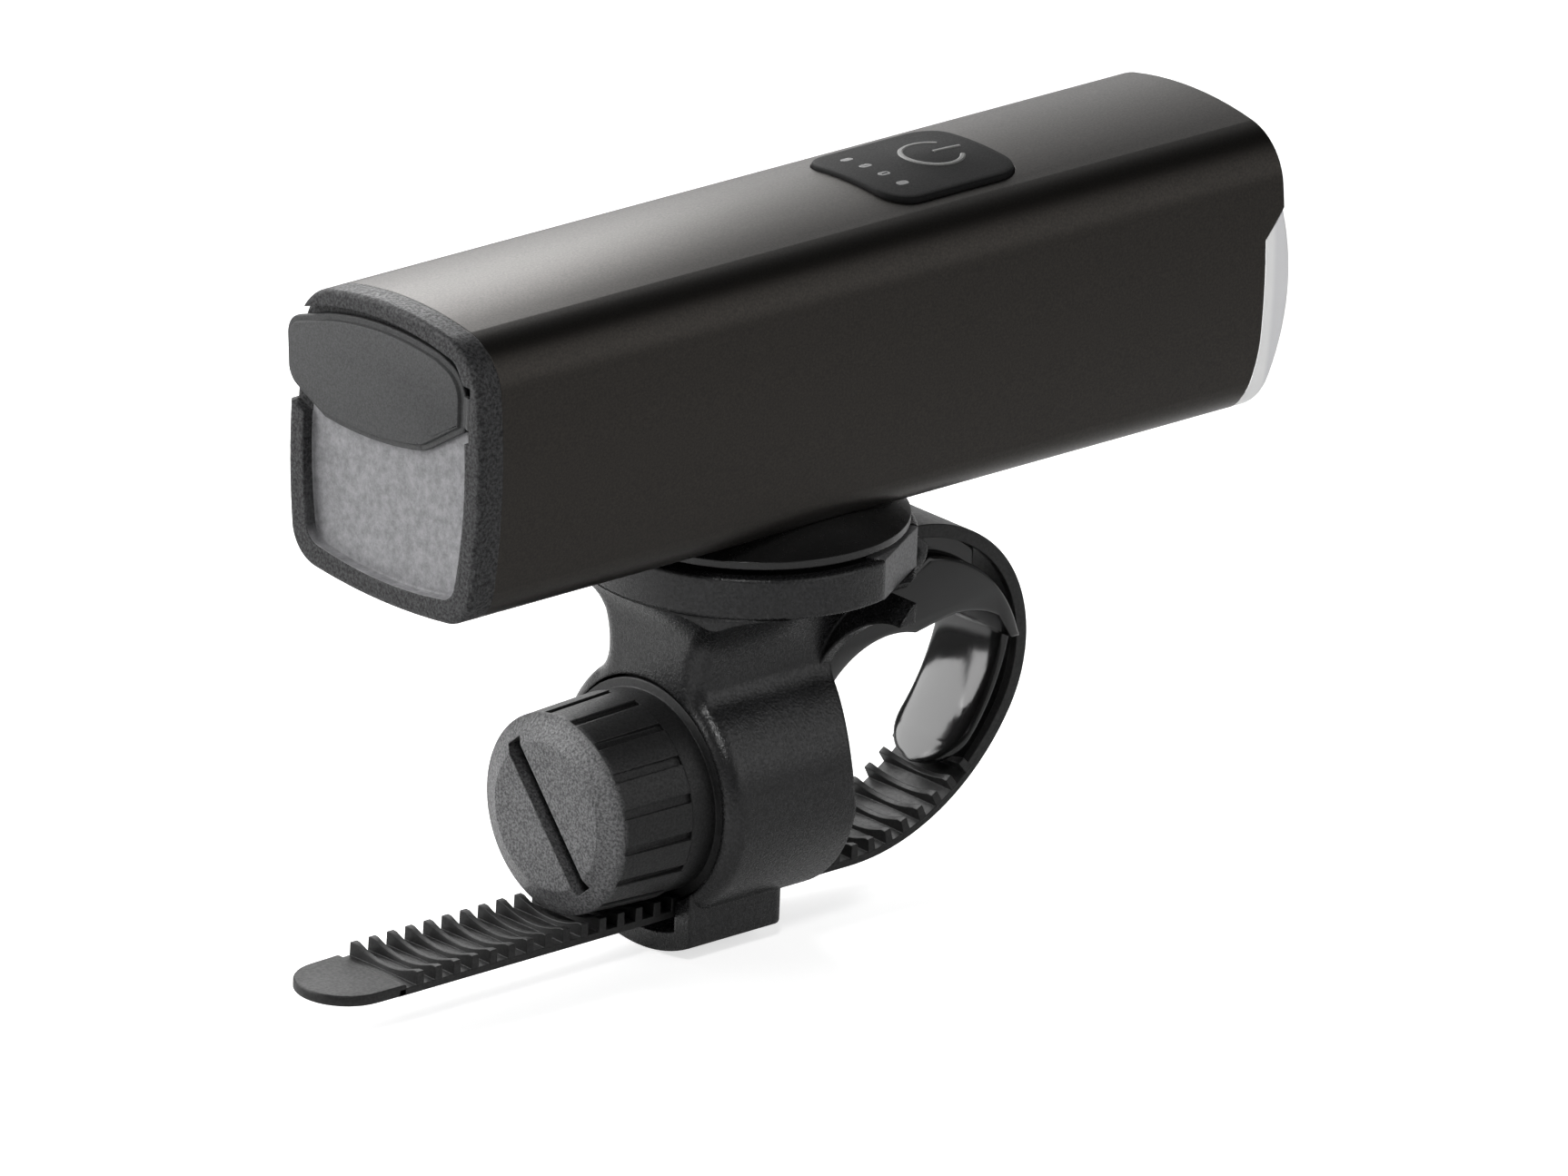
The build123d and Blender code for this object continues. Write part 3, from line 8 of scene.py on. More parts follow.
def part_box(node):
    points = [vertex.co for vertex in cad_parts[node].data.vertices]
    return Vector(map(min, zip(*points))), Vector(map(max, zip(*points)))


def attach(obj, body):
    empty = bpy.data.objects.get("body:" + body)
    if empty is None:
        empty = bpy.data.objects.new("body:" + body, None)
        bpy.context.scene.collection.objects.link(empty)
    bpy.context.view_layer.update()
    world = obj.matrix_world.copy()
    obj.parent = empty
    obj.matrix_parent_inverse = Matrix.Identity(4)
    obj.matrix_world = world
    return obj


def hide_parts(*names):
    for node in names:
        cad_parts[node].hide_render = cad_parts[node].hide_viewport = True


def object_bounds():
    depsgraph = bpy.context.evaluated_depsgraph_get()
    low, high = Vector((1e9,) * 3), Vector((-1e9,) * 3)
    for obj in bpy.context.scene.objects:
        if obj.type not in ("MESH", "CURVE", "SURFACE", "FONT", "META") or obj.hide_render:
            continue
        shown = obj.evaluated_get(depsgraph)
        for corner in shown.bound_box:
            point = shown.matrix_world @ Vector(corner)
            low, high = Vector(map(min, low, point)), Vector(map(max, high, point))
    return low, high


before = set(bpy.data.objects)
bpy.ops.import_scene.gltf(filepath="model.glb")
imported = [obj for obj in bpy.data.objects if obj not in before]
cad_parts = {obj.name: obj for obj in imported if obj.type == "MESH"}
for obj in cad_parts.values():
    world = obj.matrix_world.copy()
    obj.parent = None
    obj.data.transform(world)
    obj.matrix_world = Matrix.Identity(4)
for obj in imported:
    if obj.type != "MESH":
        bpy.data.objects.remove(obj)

# The bare frame's size; its lowest point sets the floor's height.
frame_box = [list(corner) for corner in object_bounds()]

# Viewpoint. A long lens looks down from behind and beside the lamp, a little rolled, so that
# the rear cap, the knob and one long side face the camera.
millimetre = 0.001
view_heading = math.radians(47.27)
view_dip = math.radians(20.67)
view_roll = math.radians(2.29)
aim = Vector((-38.8, -31.5, 32.8)) * millimetre
camera_distance = 2.9288
sensor_width_mm = 36.0
lens_length_mm = 652.1

look = Vector((
    math.cos(view_heading) * math.cos(view_dip),
    math.sin(view_heading) * math.cos(view_dip),
    -math.sin(view_dip),
))
level = Vector((math.sin(view_heading), -math.cos(view_heading), 0))
upright = level.cross(look)
right = math.cos(view_roll) * level + math.sin(view_roll) * upright
up = math.cos(view_roll) * upright - math.sin(view_roll) * level
camera_turn = Matrix((right, up, -look)).transposed().to_4x4()
camera = bpy.data.objects.new("camera", bpy.data.cameras.new("camera"))
camera.matrix_world = Matrix.Translation(aim - look * camera_distance) @ camera_turn
camera.data.lens = lens_length_mm
camera.data.sensor_width = sensor_width_mm
bpy.context.scene.collection.objects.link(camera)
bpy.context.scene.camera = camera
bpy.context.scene.view_settings.view_transform = "Standard"


# Studio. White paper floor, a pale room that darkens overhead, and soft boxes: two behind the
# lamp that run along its top, two at the picture's left for the cap, the knob and the bar seat,
# one at its right for the long side and a small one above, on the camera's side.
def hex_colour(text):
    """A colour written as sRGB hex, turned to linear light."""
    shares = [int(text[i:i + 2], 16) / 255 for i in (0, 2, 4)]
    return [s / 12.92 if s <= 0.04045 else ((s + 0.055) / 1.055) ** 2.4 for s in shares] + [1.0]


def add(tree, kind, feeds=None, **settings):
    """Adds one node to a node tree, with its settings and what feeds its sockets."""
    node = tree.nodes.new(kind)
    for name, value in settings.items():
        setattr(node, name, value)
    for name, value in (feeds or {}).items():
        if isinstance(value, bpy.types.NodeSocket):
            tree.links.new(value, node.inputs[name])
        else:
            node.inputs[name].default_value = value
    return node


# The paper glows for the camera, less round the part, where its shadow lies, than further out.
# Glossy skins see only a dim floor.
floor_half = 6.0
shadow_reach, paper_reach = 0.25, 1.2
near_glow, far_glow, mirrored_glow = 0.66, 1.0, 0.1
floor_paper = bpy.data.materials.new("white_studio_paper")
floor_paper.use_nodes = True
tree = floor_paper.node_tree
paper = tree.nodes["Principled BSDF"]
paper.inputs["Base Color"].default_value = hex_colour("e6e6e6")
paper.inputs["Roughness"].default_value = 0.9
paper.inputs["Emission Color"].default_value = hex_colour("ffffff")
ray = add(tree, "ShaderNodeLightPath")
seen = add(tree, "ShaderNodeMath", {
    0: ray.outputs["Is Camera Ray"], 1: ray.outputs["Is Transmission Ray"],
}, operation="MAXIMUM")
place = add(tree, "ShaderNodeTexCoord")
distance = add(tree, "ShaderNodeVectorMath", {0: place.outputs["Object"]}, operation="LENGTH")
fading = add(tree, "ShaderNodeMapRange", {
    "Value": distance.outputs["Value"], "From Min": shadow_reach, "From Max": paper_reach,
    "To Min": near_glow, "To Max": far_glow,
})
seen = add(tree, "ShaderNodeMath", {
    0: seen.outputs[0], 1: fading.outputs["Result"],
}, operation="MULTIPLY")
mirrored = add(tree, "ShaderNodeMath", {
    0: ray.outputs["Is Glossy Ray"], 1: mirrored_glow,
}, operation="MULTIPLY")
glow = add(tree, "ShaderNodeMath", {
    0: seen.outputs[0], 1: mirrored.outputs[0],
}, operation="MAXIMUM")
tree.links.new(glow.outputs[0], paper.inputs["Emission Strength"])
floor_mesh = bpy.data.meshes.new("studio_floor")
floor_z = frame_box[0][2]
floor_mesh.from_pydata([
    (x * floor_half, y * floor_half, floor_z) for x, y in ((-1, -1), (1, -1), (1, 1), (-1, 1))
], [], [(0, 1, 2, 3)])
floor_mesh.materials.append(floor_paper)
studio_floor = bpy.data.objects.new("studio_floor", floor_mesh)
bpy.context.scene.collection.objects.link(studio_floor)

# The camera sees the room as plain white, and so does light that comes through the lens.
low_sky, high_sky = 0.05, 0.5
room_strength = 0.35
room = bpy.data.worlds.new("studio_room")
bpy.context.scene.world = room
room.use_nodes = True
tree = room.node_tree
tree.nodes.clear()
ray = add(tree, "ShaderNodeLightPath")
seen = add(tree, "ShaderNodeMath", {
    0: ray.outputs["Is Camera Ray"], 1: ray.outputs["Is Transmission Ray"],
}, operation="MAXIMUM")
direction = add(tree, "ShaderNodeTexCoord")
height = add(tree, "ShaderNodeSeparateXYZ", {0: direction.outputs["Generated"]})
sky = add(tree, "ShaderNodeValToRGB", {0: height.outputs["Z"]})
sky.color_ramp.elements[0].position = low_sky
sky.color_ramp.elements[0].color = hex_colour("d0d0d0")
sky.color_ramp.elements[1].position = high_sky
sky.color_ramp.elements[1].color = hex_colour("202020")
white = add(tree, "ShaderNodeBackground", {"Color": hex_colour("ffffff"), "Strength": 1.0})
walls = add(tree, "ShaderNodeBackground", {
    "Color": sky.outputs["Color"], "Strength": room_strength,
})
mixed = add(tree, "ShaderNodeMixShader", {
    0: seen.outputs[0], 1: walls.outputs[0], 2: white.outputs[0],
})
add(tree, "ShaderNodeOutputWorld", {"Surface": mixed.outputs[0]})

# Each box: where it stands, what it faces, its width and depth in metres, and its watts.
soft_boxes = {
    "soft_box_behind": ((0.02, 0.16, 0.16), (-0.05, 0, 0.06), 0.16, 0.10, 0.33),
    "soft_box_far": ((0.95, 1.0, 0.5), (0, 0, 0.06), 1.5, 1.0, 5.5),
    "soft_box_left": ((-0.75, 0.36, 0.28), (-0.04, 0, 0.02), 0.4, 0.4, 3.2),
    "soft_box_seat": ((-0.24, 0.38, 0.26), (0.01, 0, 0), 0.3, 0.36, 2.0),
    "soft_box_right": ((0.4, -0.8, 0.5), (0, 0, 0.02), 1.0, 0.8, 3.0),
    "soft_box_near": ((-0.46, -0.42, 0.62), (-0.02, 0, 0), 0.14, 0.14, 2.2),
}
for name, (stand, target, width, depth, watts) in soft_boxes.items():
    box = bpy.data.objects.new(name, bpy.data.lights.new(name, "AREA"))
    box.data.shape = "RECTANGLE"
    box.data.size = width
    box.data.size_y = depth
    box.data.energy = watts
    box.location = stand
    box.rotation_mode = "QUATERNION"
    box.rotation_quaternion = (Vector(target) - Vector(stand)).to_track_quat("-Z", "Y")
    box.visible_camera = False
    bpy.context.scene.collection.objects.link(box)


# Housing. Drawn aluminium tube with crowned faces, blasted with fine glass beads and dyed black
# by anodising, which leaves a dark satin skin with a warm cast and a very fine even grain. The
# bead marks are drawn at 0.25 mm, several times their real size, so that they show.
def per_metre(size_mm):
    """Scale of a pattern, from the real size of one of its marks."""
    return 1.0 / (size_mm * millimetre)


def new_material(name, colour, metallic, roughness, specular=0.5):
    """A material with its plain values set on the shader's own sockets."""
    made = bpy.data.materials.new(name)
    made.use_nodes = True
    shader = made.node_tree.nodes["Principled BSDF"]
    shader.inputs["Base Color"].default_value = hex_colour(colour)
    shader.inputs["Metallic"].default_value = metallic
    shader.inputs["Roughness"].default_value = roughness
    shader.inputs["Specular IOR Level"].default_value = specular
    return made


def paint(node_name, material):
    """Gives a CAD piece its material in every slot."""
    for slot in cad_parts[node_name].material_slots:
        slot.material = material


def grain(material, size_mm, depth_mm, colours, gloss, edge_mm=0.2):
    """Moulded or blasted grain: pits of real depth, with their shades and gloss, and soft edges.

    Colours go from the pits to the crests, and gloss is the roughness of crests and of pits.
    """
    tree = material.node_tree
    shader = tree.nodes["Principled BSDF"]
    place = add(tree, "ShaderNodeTexCoord")
    noise = add(tree, "ShaderNodeTexNoise", {
        "Vector": place.outputs["Object"], "Scale": per_metre(size_mm),
        "Detail": 2.0, "Roughness": 0.6,
    })
    rounded = add(tree, "ShaderNodeBevel", {"Radius": edge_mm * millimetre}, samples=6)
    bump = add(tree, "ShaderNodeBump", {
        "Height": noise.outputs["Fac"], "Strength": 1.0, "Distance": depth_mm * millimetre,
        "Normal": rounded.outputs["Normal"],
    })
    # The noise seldom leaves 0.3 to 0.7, so the shade and the gloss change over that range.
    shade = add(tree, "ShaderNodeValToRGB", {0: noise.outputs["Fac"]})
    shade.color_ramp.elements[0].position = 0.35
    shade.color_ramp.elements[0].color = hex_colour(colours[0])
    shade.color_ramp.elements[1].position = 0.68
    shade.color_ramp.elements[1].color = hex_colour(colours[1])
    rough = add(tree, "ShaderNodeMapRange", {
        "Value": noise.outputs["Fac"], "From Min": 0.3, "From Max": 0.7,
        "To Min": gloss[1], "To Max": gloss[0],
    })
    tree.links.new(shade.outputs["Color"], shader.inputs["Base Color"])
    tree.links.new(bump.outputs["Normal"], shader.inputs["Normal"])
    tree.links.new(rough.outputs["Result"], shader.inputs["Roughness"])
    return shade


anodised = new_material("black_anodised_aluminium", "2b2a2a", 1.0, 0.4)
grain(anodised, 0.25, 0.002, ("363432", "3e3b38"), (0.36, 0.42))
paint("housing", anodised)


# Rear cap. Glass-filled nylon, moulded: a pebbled rim, and a sunk floor with a paler, mottled
# grain, whose shade is painted on the low wall that faces up, as painted light. Two screws draw it
# onto the housing's end, behind the cover.
cap_low, cap_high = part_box("rear_cap")
cap_floor_depth_mm = 1.35
cap_floor_give_mm = 0.15
cap_rim_width_mm = 2.4
cap_squareness = 6.0
cover_reach_mm = 10.9
wall_tilt_low, wall_tilt_high = 0.05, 0.8
floor_mark_mm = 1.1
cap_middle_z = (cap_low.z + cap_high.z) / 2
floor_half_width = cap_high.y - cap_rim_width_mm * millimetre
floor_half_height = (cap_high.z - cap_low.z) / 2 - cap_rim_width_mm * millimetre
cap_nylon = new_material("moulded_glass_filled_nylon", "3a3a3c", 0.0, 0.5, specular=0.22)
shade = grain(cap_nylon, 0.34, 0.04, ("161617", "3e3e3f"), (0.38, 0.6), 0.5)
tree = cap_nylon.node_tree
place = add(tree, "ShaderNodeTexCoord")
axes = add(tree, "ShaderNodeSeparateXYZ", {0: place.outputs["Object"]})
# The floor is what lies at the recess's depth, inside a rounded rectangle, under the cover.
at_depth = add(tree, "ShaderNodeMath", {
    0: axes.outputs["X"], 1: cap_low.x + cap_floor_depth_mm * millimetre,
    2: cap_floor_give_mm * millimetre,
}, operation="COMPARE")
outward = []
for axis, middle, half in (("Y", 0.0, floor_half_width), ("Z", cap_middle_z, floor_half_height)):
    share = add(tree, "ShaderNodeMath", {0: axes.outputs[axis], 1: middle}, operation="SUBTRACT")
    share = add(tree, "ShaderNodeMath", {0: share.outputs[0], 1: half}, operation="DIVIDE")
    share = add(tree, "ShaderNodeMath", {0: share.outputs[0]}, operation="ABSOLUTE")
    outward.append(add(tree, "ShaderNodeMath", {
        0: share.outputs[0], 1: cap_squareness,
    }, operation="POWER"))
inside = add(tree, "ShaderNodeMath", {
    0: outward[0].outputs[0], 1: outward[1].outputs[0],
}, operation="ADD")
inside = add(tree, "ShaderNodeMath", {0: inside.outputs[0], 1: 1.0}, operation="LESS_THAN")
under_cover = add(tree, "ShaderNodeMath", {
    0: axes.outputs["Z"], 1: cap_high.z - cover_reach_mm * millimetre,
}, operation="LESS_THAN")
inside = add(tree, "ShaderNodeMath", {
    0: inside.outputs[0], 1: under_cover.outputs[0],
}, operation="MULTIPLY")
floor_with_painted_wall_light = add(tree, "ShaderNodeMath", {
    0: at_depth.outputs[0], 1: inside.outputs[0],
}, operation="MULTIPLY")
# The low wall faces up and runs into the floor. The floor's pale shade is painted on it as painted
# light, where the dark room above leaves it dim.
facing = add(tree, "ShaderNodeSeparateXYZ", {0: place.outputs["Normal"]})
facing_up = add(tree, "ShaderNodeMapRange", {
    "Value": facing.outputs["Z"], "From Min": wall_tilt_low, "From Max": wall_tilt_high,
})
low_down = add(tree, "ShaderNodeMath", {
    0: axes.outputs["Z"], 1: cap_middle_z,
}, operation="LESS_THAN")
low_wall_painted_light = add(tree, "ShaderNodeMath", {
    0: facing_up.outputs[0], 1: low_down.outputs[0],
}, operation="MULTIPLY")
floor_with_painted_wall_light = add(tree, "ShaderNodeMath", {
    0: floor_with_painted_wall_light.outputs[0], 1: low_wall_painted_light.outputs[0],
}, operation="MAXIMUM")
fine = add(tree, "ShaderNodeTexNoise", {
    "Vector": place.outputs["Object"], "Scale": per_metre(floor_mark_mm),
    "Detail": 4.0, "Roughness": 0.8,
})
floor_shade = add(tree, "ShaderNodeValToRGB", {0: fine.outputs["Fac"]})
floor_shade.color_ramp.elements[0].position = 0.3
floor_shade.color_ramp.elements[0].color = hex_colour("69696b")
floor_shade.color_ramp.elements[1].position = 0.7
floor_shade.color_ramp.elements[1].color = hex_colour("8f8f91")
colour = add(tree, "ShaderNodeMix", {
    "Factor": floor_with_painted_wall_light.outputs[0], "A": shade.outputs["Color"], "B": floor_shade.outputs["Color"],
}, data_type="RGBA")
tree.links.new(colour.outputs["Result"], tree.nodes["Principled BSDF"].inputs["Base Color"])
paint("rear_cap", cap_nylon)


# Charging cover. Soft moulded rubber with a matt spark-eroded face, pressed into its pocket:
# a flange, a raised face a little inside its edge, a pull tab at one side, a sealing plug for
# the socket, and a hinge bead with a web at the other side.
def spun(arm, angle):
    """An arm in the plane, turned by an angle."""
    return Vector((
        arm.x * math.cos(angle) - arm.y * math.sin(angle),
        arm.x * math.sin(angle) + arm.y * math.cos(angle),
    ))


def rounded_loop(corners, steps=8):
    """Points of an outline whose corners, given as (place, place, radius), are rounded."""
    loop = []
    for i, (u, v, radius) in enumerate(corners):
        here = Vector((u, v))
        before = (Vector(corners[i - 1][:2]) - here).normalized()
        after = (Vector(corners[(i + 1) % len(corners)][:2]) - here).normalized()
        half_angle = before.angle(after) / 2
        nearly_straight = half_angle > math.radians(88)
        if radius <= 0 or nearly_straight:
            loop.append(here)
            continue
        reach = radius / math.tan(half_angle)
        centre = here + (before + after).normalized() * (radius / math.sin(half_angle))
        first = here + before * reach - centre
        last = here + after * reach - centre
        turn = -first.angle_signed(last)
        loop.extend(centre + spun(first, turn * step / steps) for step in range(steps + 1))
    return loop


def arc_through(start, middle, end, steps):
    """Points of the arc through three places, without its last one."""
    a, b, c = (Vector(p) for p in (start, middle, end))
    aa, bb, cc = (p.length_squared for p in (a, b, c))
    d = 2 * (a.x * (b.y - c.y) + b.x * (c.y - a.y) + c.x * (a.y - b.y))
    centre = Vector((
        (aa * (b.y - c.y) + bb * (c.y - a.y) + cc * (a.y - b.y)) / d,
        (aa * (c.x - b.x) + bb * (a.x - c.x) + cc * (b.x - a.x)) / d,
    ))
    first = a - centre
    turn = -(first.angle_signed(b - centre) + (b - centre).angle_signed(c - centre))
    return [centre + spun(first, turn * step / steps) for step in range(steps)]


def drawn_in(loop, amount):
    """An outline moved inwards, each point along the mean of its two edges' normals."""
    count = len(loop)
    area = sum(loop[i - 1].x * loop[i].y - loop[i].x * loop[i - 1].y for i in range(count))
    side = 1 if area > 0 else -1
    moved = []
    for i, here in enumerate(loop):
        along = loop[(i + 1) % count] - loop[i - 1]
        inward = Vector((-along.y, along.x)).normalized() * side
        moved.append(here + inward * amount)
    return moved


class Shell:
    """Vertices and faces of a piece in millimetres, gathered from its closed solids."""

    def __init__(self):
        self.points = []
        self.faces = []

    def stack(self, layers):
        """Joins closed loops of equal count, in order, by faces, and caps the two ends."""
        first = len(self.points)
        count = len(layers[0])
        for layer in layers:
            self.points.extend(Vector(p) for p in layer)
        for row in range(len(layers) - 1):
            low = first + row * count
            for i in range(count):
                j = (i + 1) % count
                self.faces.append((low + i, low + j, low + count + j, low + count + i))
        last = first + (len(layers) - 1) * count
        self.faces.append(tuple(reversed(range(first, first + count))))
        self.faces.append(tuple(range(last, last + count)))

    def piece(self, name, material, node, finish_slot, body, edge_mm, sharp_degrees=30):
        """Makes the mesh, softens its edges and puts it in the place of a CAD node."""
        mesh = bpy.data.meshes.new(name)
        mesh.from_pydata([p * millimetre for p in self.points], [], self.faces)
        mesh.materials.append(material)
        skin = bmesh.new()
        skin.from_mesh(mesh)
        bmesh.ops.recalc_face_normals(skin, faces=skin.faces)
        for face in skin.faces:
            face.smooth = True
        skin.to_mesh(mesh)
        skin.free()
        made = bpy.data.objects.new(name, mesh)
        bpy.context.scene.collection.objects.link(made)
        soft = made.modifiers.new("moulded_edges", "BEVEL")
        soft.width = edge_mm * millimetre
        soft.segments = 3
        soft.limit_method = "ANGLE"
        soft.angle_limit = math.radians(sharp_degrees)
        soft.use_clamp_overlap = True
        soft.harden_normals = True
        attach(made, body)
        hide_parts(node)


lamp_top_mm = cap_high.z / millimetre
cover_top_mm = lamp_top_mm - 2.25
cover_foot_mm = cover_top_mm - 13.7
cover_shoulder_mm = cover_top_mm - 1.35
cover_rear_mm = cap_low.x / millimetre + 0.3
cover_thick_mm = 1.0
cover_front_mm = cover_rear_mm + cover_thick_mm
cover_play_mm = 0.5
low_corner = (-5.8, cover_foot_mm + 0.95)
high_corner = (10.4, cover_shoulder_mm)
low_edge = arc_through(
    (10.4, cover_foot_mm), (2.0, cover_foot_mm - 0.25), low_corner, 24)
high_edge = arc_through(
    (-7.4, cover_top_mm - 0.65), (0, cover_top_mm), high_corner, 24)
pocket_outline = rounded_loop(
    [(p.x, p.y, 0) for p in low_edge]
    + [(*low_corner, 4.0), (-12.0, cover_foot_mm + 5.0, 1.3)]
    + [(-12.0, cover_shoulder_mm - 0.9, 4.4)]
    + [(p.x, p.y, 0) for p in high_edge]
    + [(*high_corner, 1.6), (17.1, cover_foot_mm + 10.1, 2.8), (16.45, cover_foot_mm + 2.9, 3.0)]
)
cover_outline = drawn_in(pocket_outline, cover_play_mm)
cover = Shell()
flange_rear_mm = cover_rear_mm + 0.42
cover.stack([[(x, p.x, p.y) for p in drawn_in(cover_outline, inset)] for x, inset in (
    (cover_front_mm, 0.1), (cover_front_mm - 0.1, 0),
    (flange_rear_mm + 0.12, 0), (flange_rear_mm, 0.12), (flange_rear_mm, 0.62),
    (cover_rear_mm + 0.2, 0.68), (cover_rear_mm + 0.05, 0.76), (cover_rear_mm, 0.95),
)])
port_low, port_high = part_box("usb_port")
port_z_mm = (port_low.z + port_high.z) / 2 / millimetre
plug_half_width_mm, plug_half_height_mm, plug_corner_mm = 5.7, 2.9, 2.85
plug_outline = rounded_loop([
    (y * plug_half_width_mm, port_z_mm + z * plug_half_height_mm, plug_corner_mm)
    for y, z in ((-1, -1), (1, -1), (1, 1), (-1, 1))
])
plug_rear_mm = cover_front_mm - 0.2
cover.stack([[(x, p.x, p.y) for p in drawn_in(plug_outline, inset)] for x, inset in (
    (plug_rear_mm, 0), (plug_rear_mm + 1.4, 0), (plug_rear_mm + 1.8, 0.3),
)])
hinge_low_mm, hinge_high_mm = cover_foot_mm + 5.8, cover_foot_mm + 9.2
hinge_y_mm, hinge_radius_mm, hinge_steps = -12.35, 0.5, 16
web_width_mm, web_rear_mm, web_front_mm = 0.9, cover_rear_mm + 0.25, cover_rear_mm + 0.75
hinge_angles = [step * 2 * math.pi / hinge_steps for step in range(hinge_steps)]
hinge_bead = [
    (cover_rear_mm + hinge_radius_mm + hinge_radius_mm * math.cos(a),
     hinge_y_mm + hinge_radius_mm * math.sin(a))
    for a in hinge_angles
]
hinge_web = [
    (web_rear_mm, hinge_y_mm), (web_front_mm, hinge_y_mm),
    (web_front_mm, hinge_y_mm + web_width_mm), (web_rear_mm, hinge_y_mm + web_width_mm),
]
for outline in (hinge_bead, hinge_web):
    cover.stack([[(x, y, z) for x, y in outline] for z in (hinge_low_mm, hinge_high_mm)])
cover_rubber = new_material("matt_moulded_rubber", "3a3a3b", 0.0, 0.7)
grain(cover_rubber, 0.22, 0.008, ("2c2c2d", "393a3a"), (0.6, 0.72), 0.12)
cover.piece("charging_cover", cover_rubber, "charge_flap", "flap_rubber", "flap", 0.05)


# Power button. A silicone plate with rounded corners, moulded to the housing's crown, that swells
# into a soft dome over the switch. A ring and a bar on the dome are the common power sign, and
# four small windows of smoked acrylic show the charge.
button_rear_mm, button_front_mm = -3.0, 15.4
button_half_width_mm = 7.8
button_corner_mm, smallest_corner_mm = 3.5, 0.25
button_proud_mm = 0.5
dome_x_mm, dome_radius_mm, dome_height_mm = 8.8, 6.6, 0.25
crown_drop_mm, crown_half_mm = 2.17, 13.66
crown_radius_mm = (crown_half_mm ** 2 + crown_drop_mm ** 2) / (2 * crown_drop_mm) + button_proud_mm
corner_steps, side_steps = 8, 10


def button_face_z(x, y):
    """Height of the button's face over a place, from the housing's crown and the dome."""
    crown = math.sqrt(crown_radius_mm ** 2 - y * y) - crown_radius_mm
    reach = min(math.hypot(x - dome_x_mm, y) / dome_radius_mm, 1)
    dome = dome_height_mm * 0.5 * (1 + math.cos(math.pi * reach))
    return lamp_top_mm + button_proud_mm + crown + dome


def button_ring(inset, drop):
    """A closed ring of points inside the button's outline, sunk under its face."""
    corner = max(button_corner_mm - inset, smallest_corner_mm)
    x0, x1 = button_rear_mm + inset, button_front_mm - inset
    y1 = button_half_width_mm - inset
    ring = []
    for cx, cy, start in (
        (x1 - corner, y1 - corner, 0), (x0 + corner, y1 - corner, 90),
        (x0 + corner, corner - y1, 180), (x1 - corner, corner - y1, 270),
    ):
        for step in range(corner_steps + 1):
            angle = math.radians(start + step * 90 / corner_steps)
            ring.append(Vector((cx + corner * math.cos(angle), cy + corner * math.sin(angle))))
    dense = []
    for i, here in enumerate(ring):
        dense.append(here)
        if i % (corner_steps + 1) == corner_steps:
            ahead = ring[(i + 1) % len(ring)]
            dense.extend(here.lerp(ahead, step / side_steps) for step in range(1, side_steps))
    return [(p.x, p.y, button_face_z(p.x, p.y) - drop) for p in dense]


def raised_line(route, half_width, rise):
    """A low moulded line on the button's face along a route of places."""
    rows = []
    for i, here in enumerate(route):
        ahead = route[min(i + 1, len(route) - 1)] - route[max(i - 1, 0)]
        side = Vector((-ahead.y, ahead.x)).normalized() * half_width
        spots = [(here + side * share, lift) for share, lift in (
            (1, -0.1), (1, 0.0), (0.55, rise), (-0.55, rise), (-1, 0.0), (-1, -0.1),
        )]
        rows.append([(p.x, p.y, button_face_z(p.x, p.y) + lift) for p, lift in spots])
    return rows


face_insets = (0.28, 0.8, 1.5, 2.3, 3.1, 3.9, 4.7, 5.5, 6.3, 7.0, 7.5)
button = Shell()
button.stack([button_ring(inset, drop) for inset, drop in (
    (0.0, 1.9), (0.0, 0.30), (0.03, 0.17), (0.12, 0.06), *((inset, 0.0) for inset in face_insets),
)])
sign_radius_mm, sign_rise_mm = 3.3, 0.10
sign_half_gap, sign_steps = 38, 48
sign_angles = [
    math.radians(sign_half_gap + step * (360 - 2 * sign_half_gap) / sign_steps)
    for step in range(sign_steps + 1)
]
sign_ring = [
    Vector((dome_x_mm + sign_radius_mm * math.cos(a), sign_radius_mm * math.sin(a)))
    for a in sign_angles
]
sign_bar = [Vector((dome_x_mm + x, 0)) for x in (0.2, 1.2, 2.2, 3.2, 4.0)]
sign = Shell()
sign.stack(raised_line(sign_ring, 0.30, sign_rise_mm))
sign.stack(raised_line(sign_bar, 0.28, sign_rise_mm))
button_silicone = new_material("black_silicone", "1c1c1c", 0.0, 0.5, specular=0.1)
grain(button_silicone, 0.2, 0.003, ("0f0f0f", "141414"), (0.55, 0.65), 0.1)
button.piece("button_plate", button_silicone, "power_button", "button_silicone", "button", 0.05)
sign_ink = new_material("grey_moulded_silicone", "4a4a49", 0.0, 0.45)
grain(sign_ink, 0.2, 0.003, ("646463", "727270"), (0.5, 0.6), 0.08)
sign.piece("power_sign", sign_ink, "power_button", "button_silicone", "button", 0.03)

window_resin = new_material("smoked_light_guide_acrylic", "5a5a5a", 0.0, 0.2)
grain(window_resin, 0.5, 0.002, ("545454", "606060"), (0.15, 0.25), 0.1)
paint("charge_windows", window_resin)
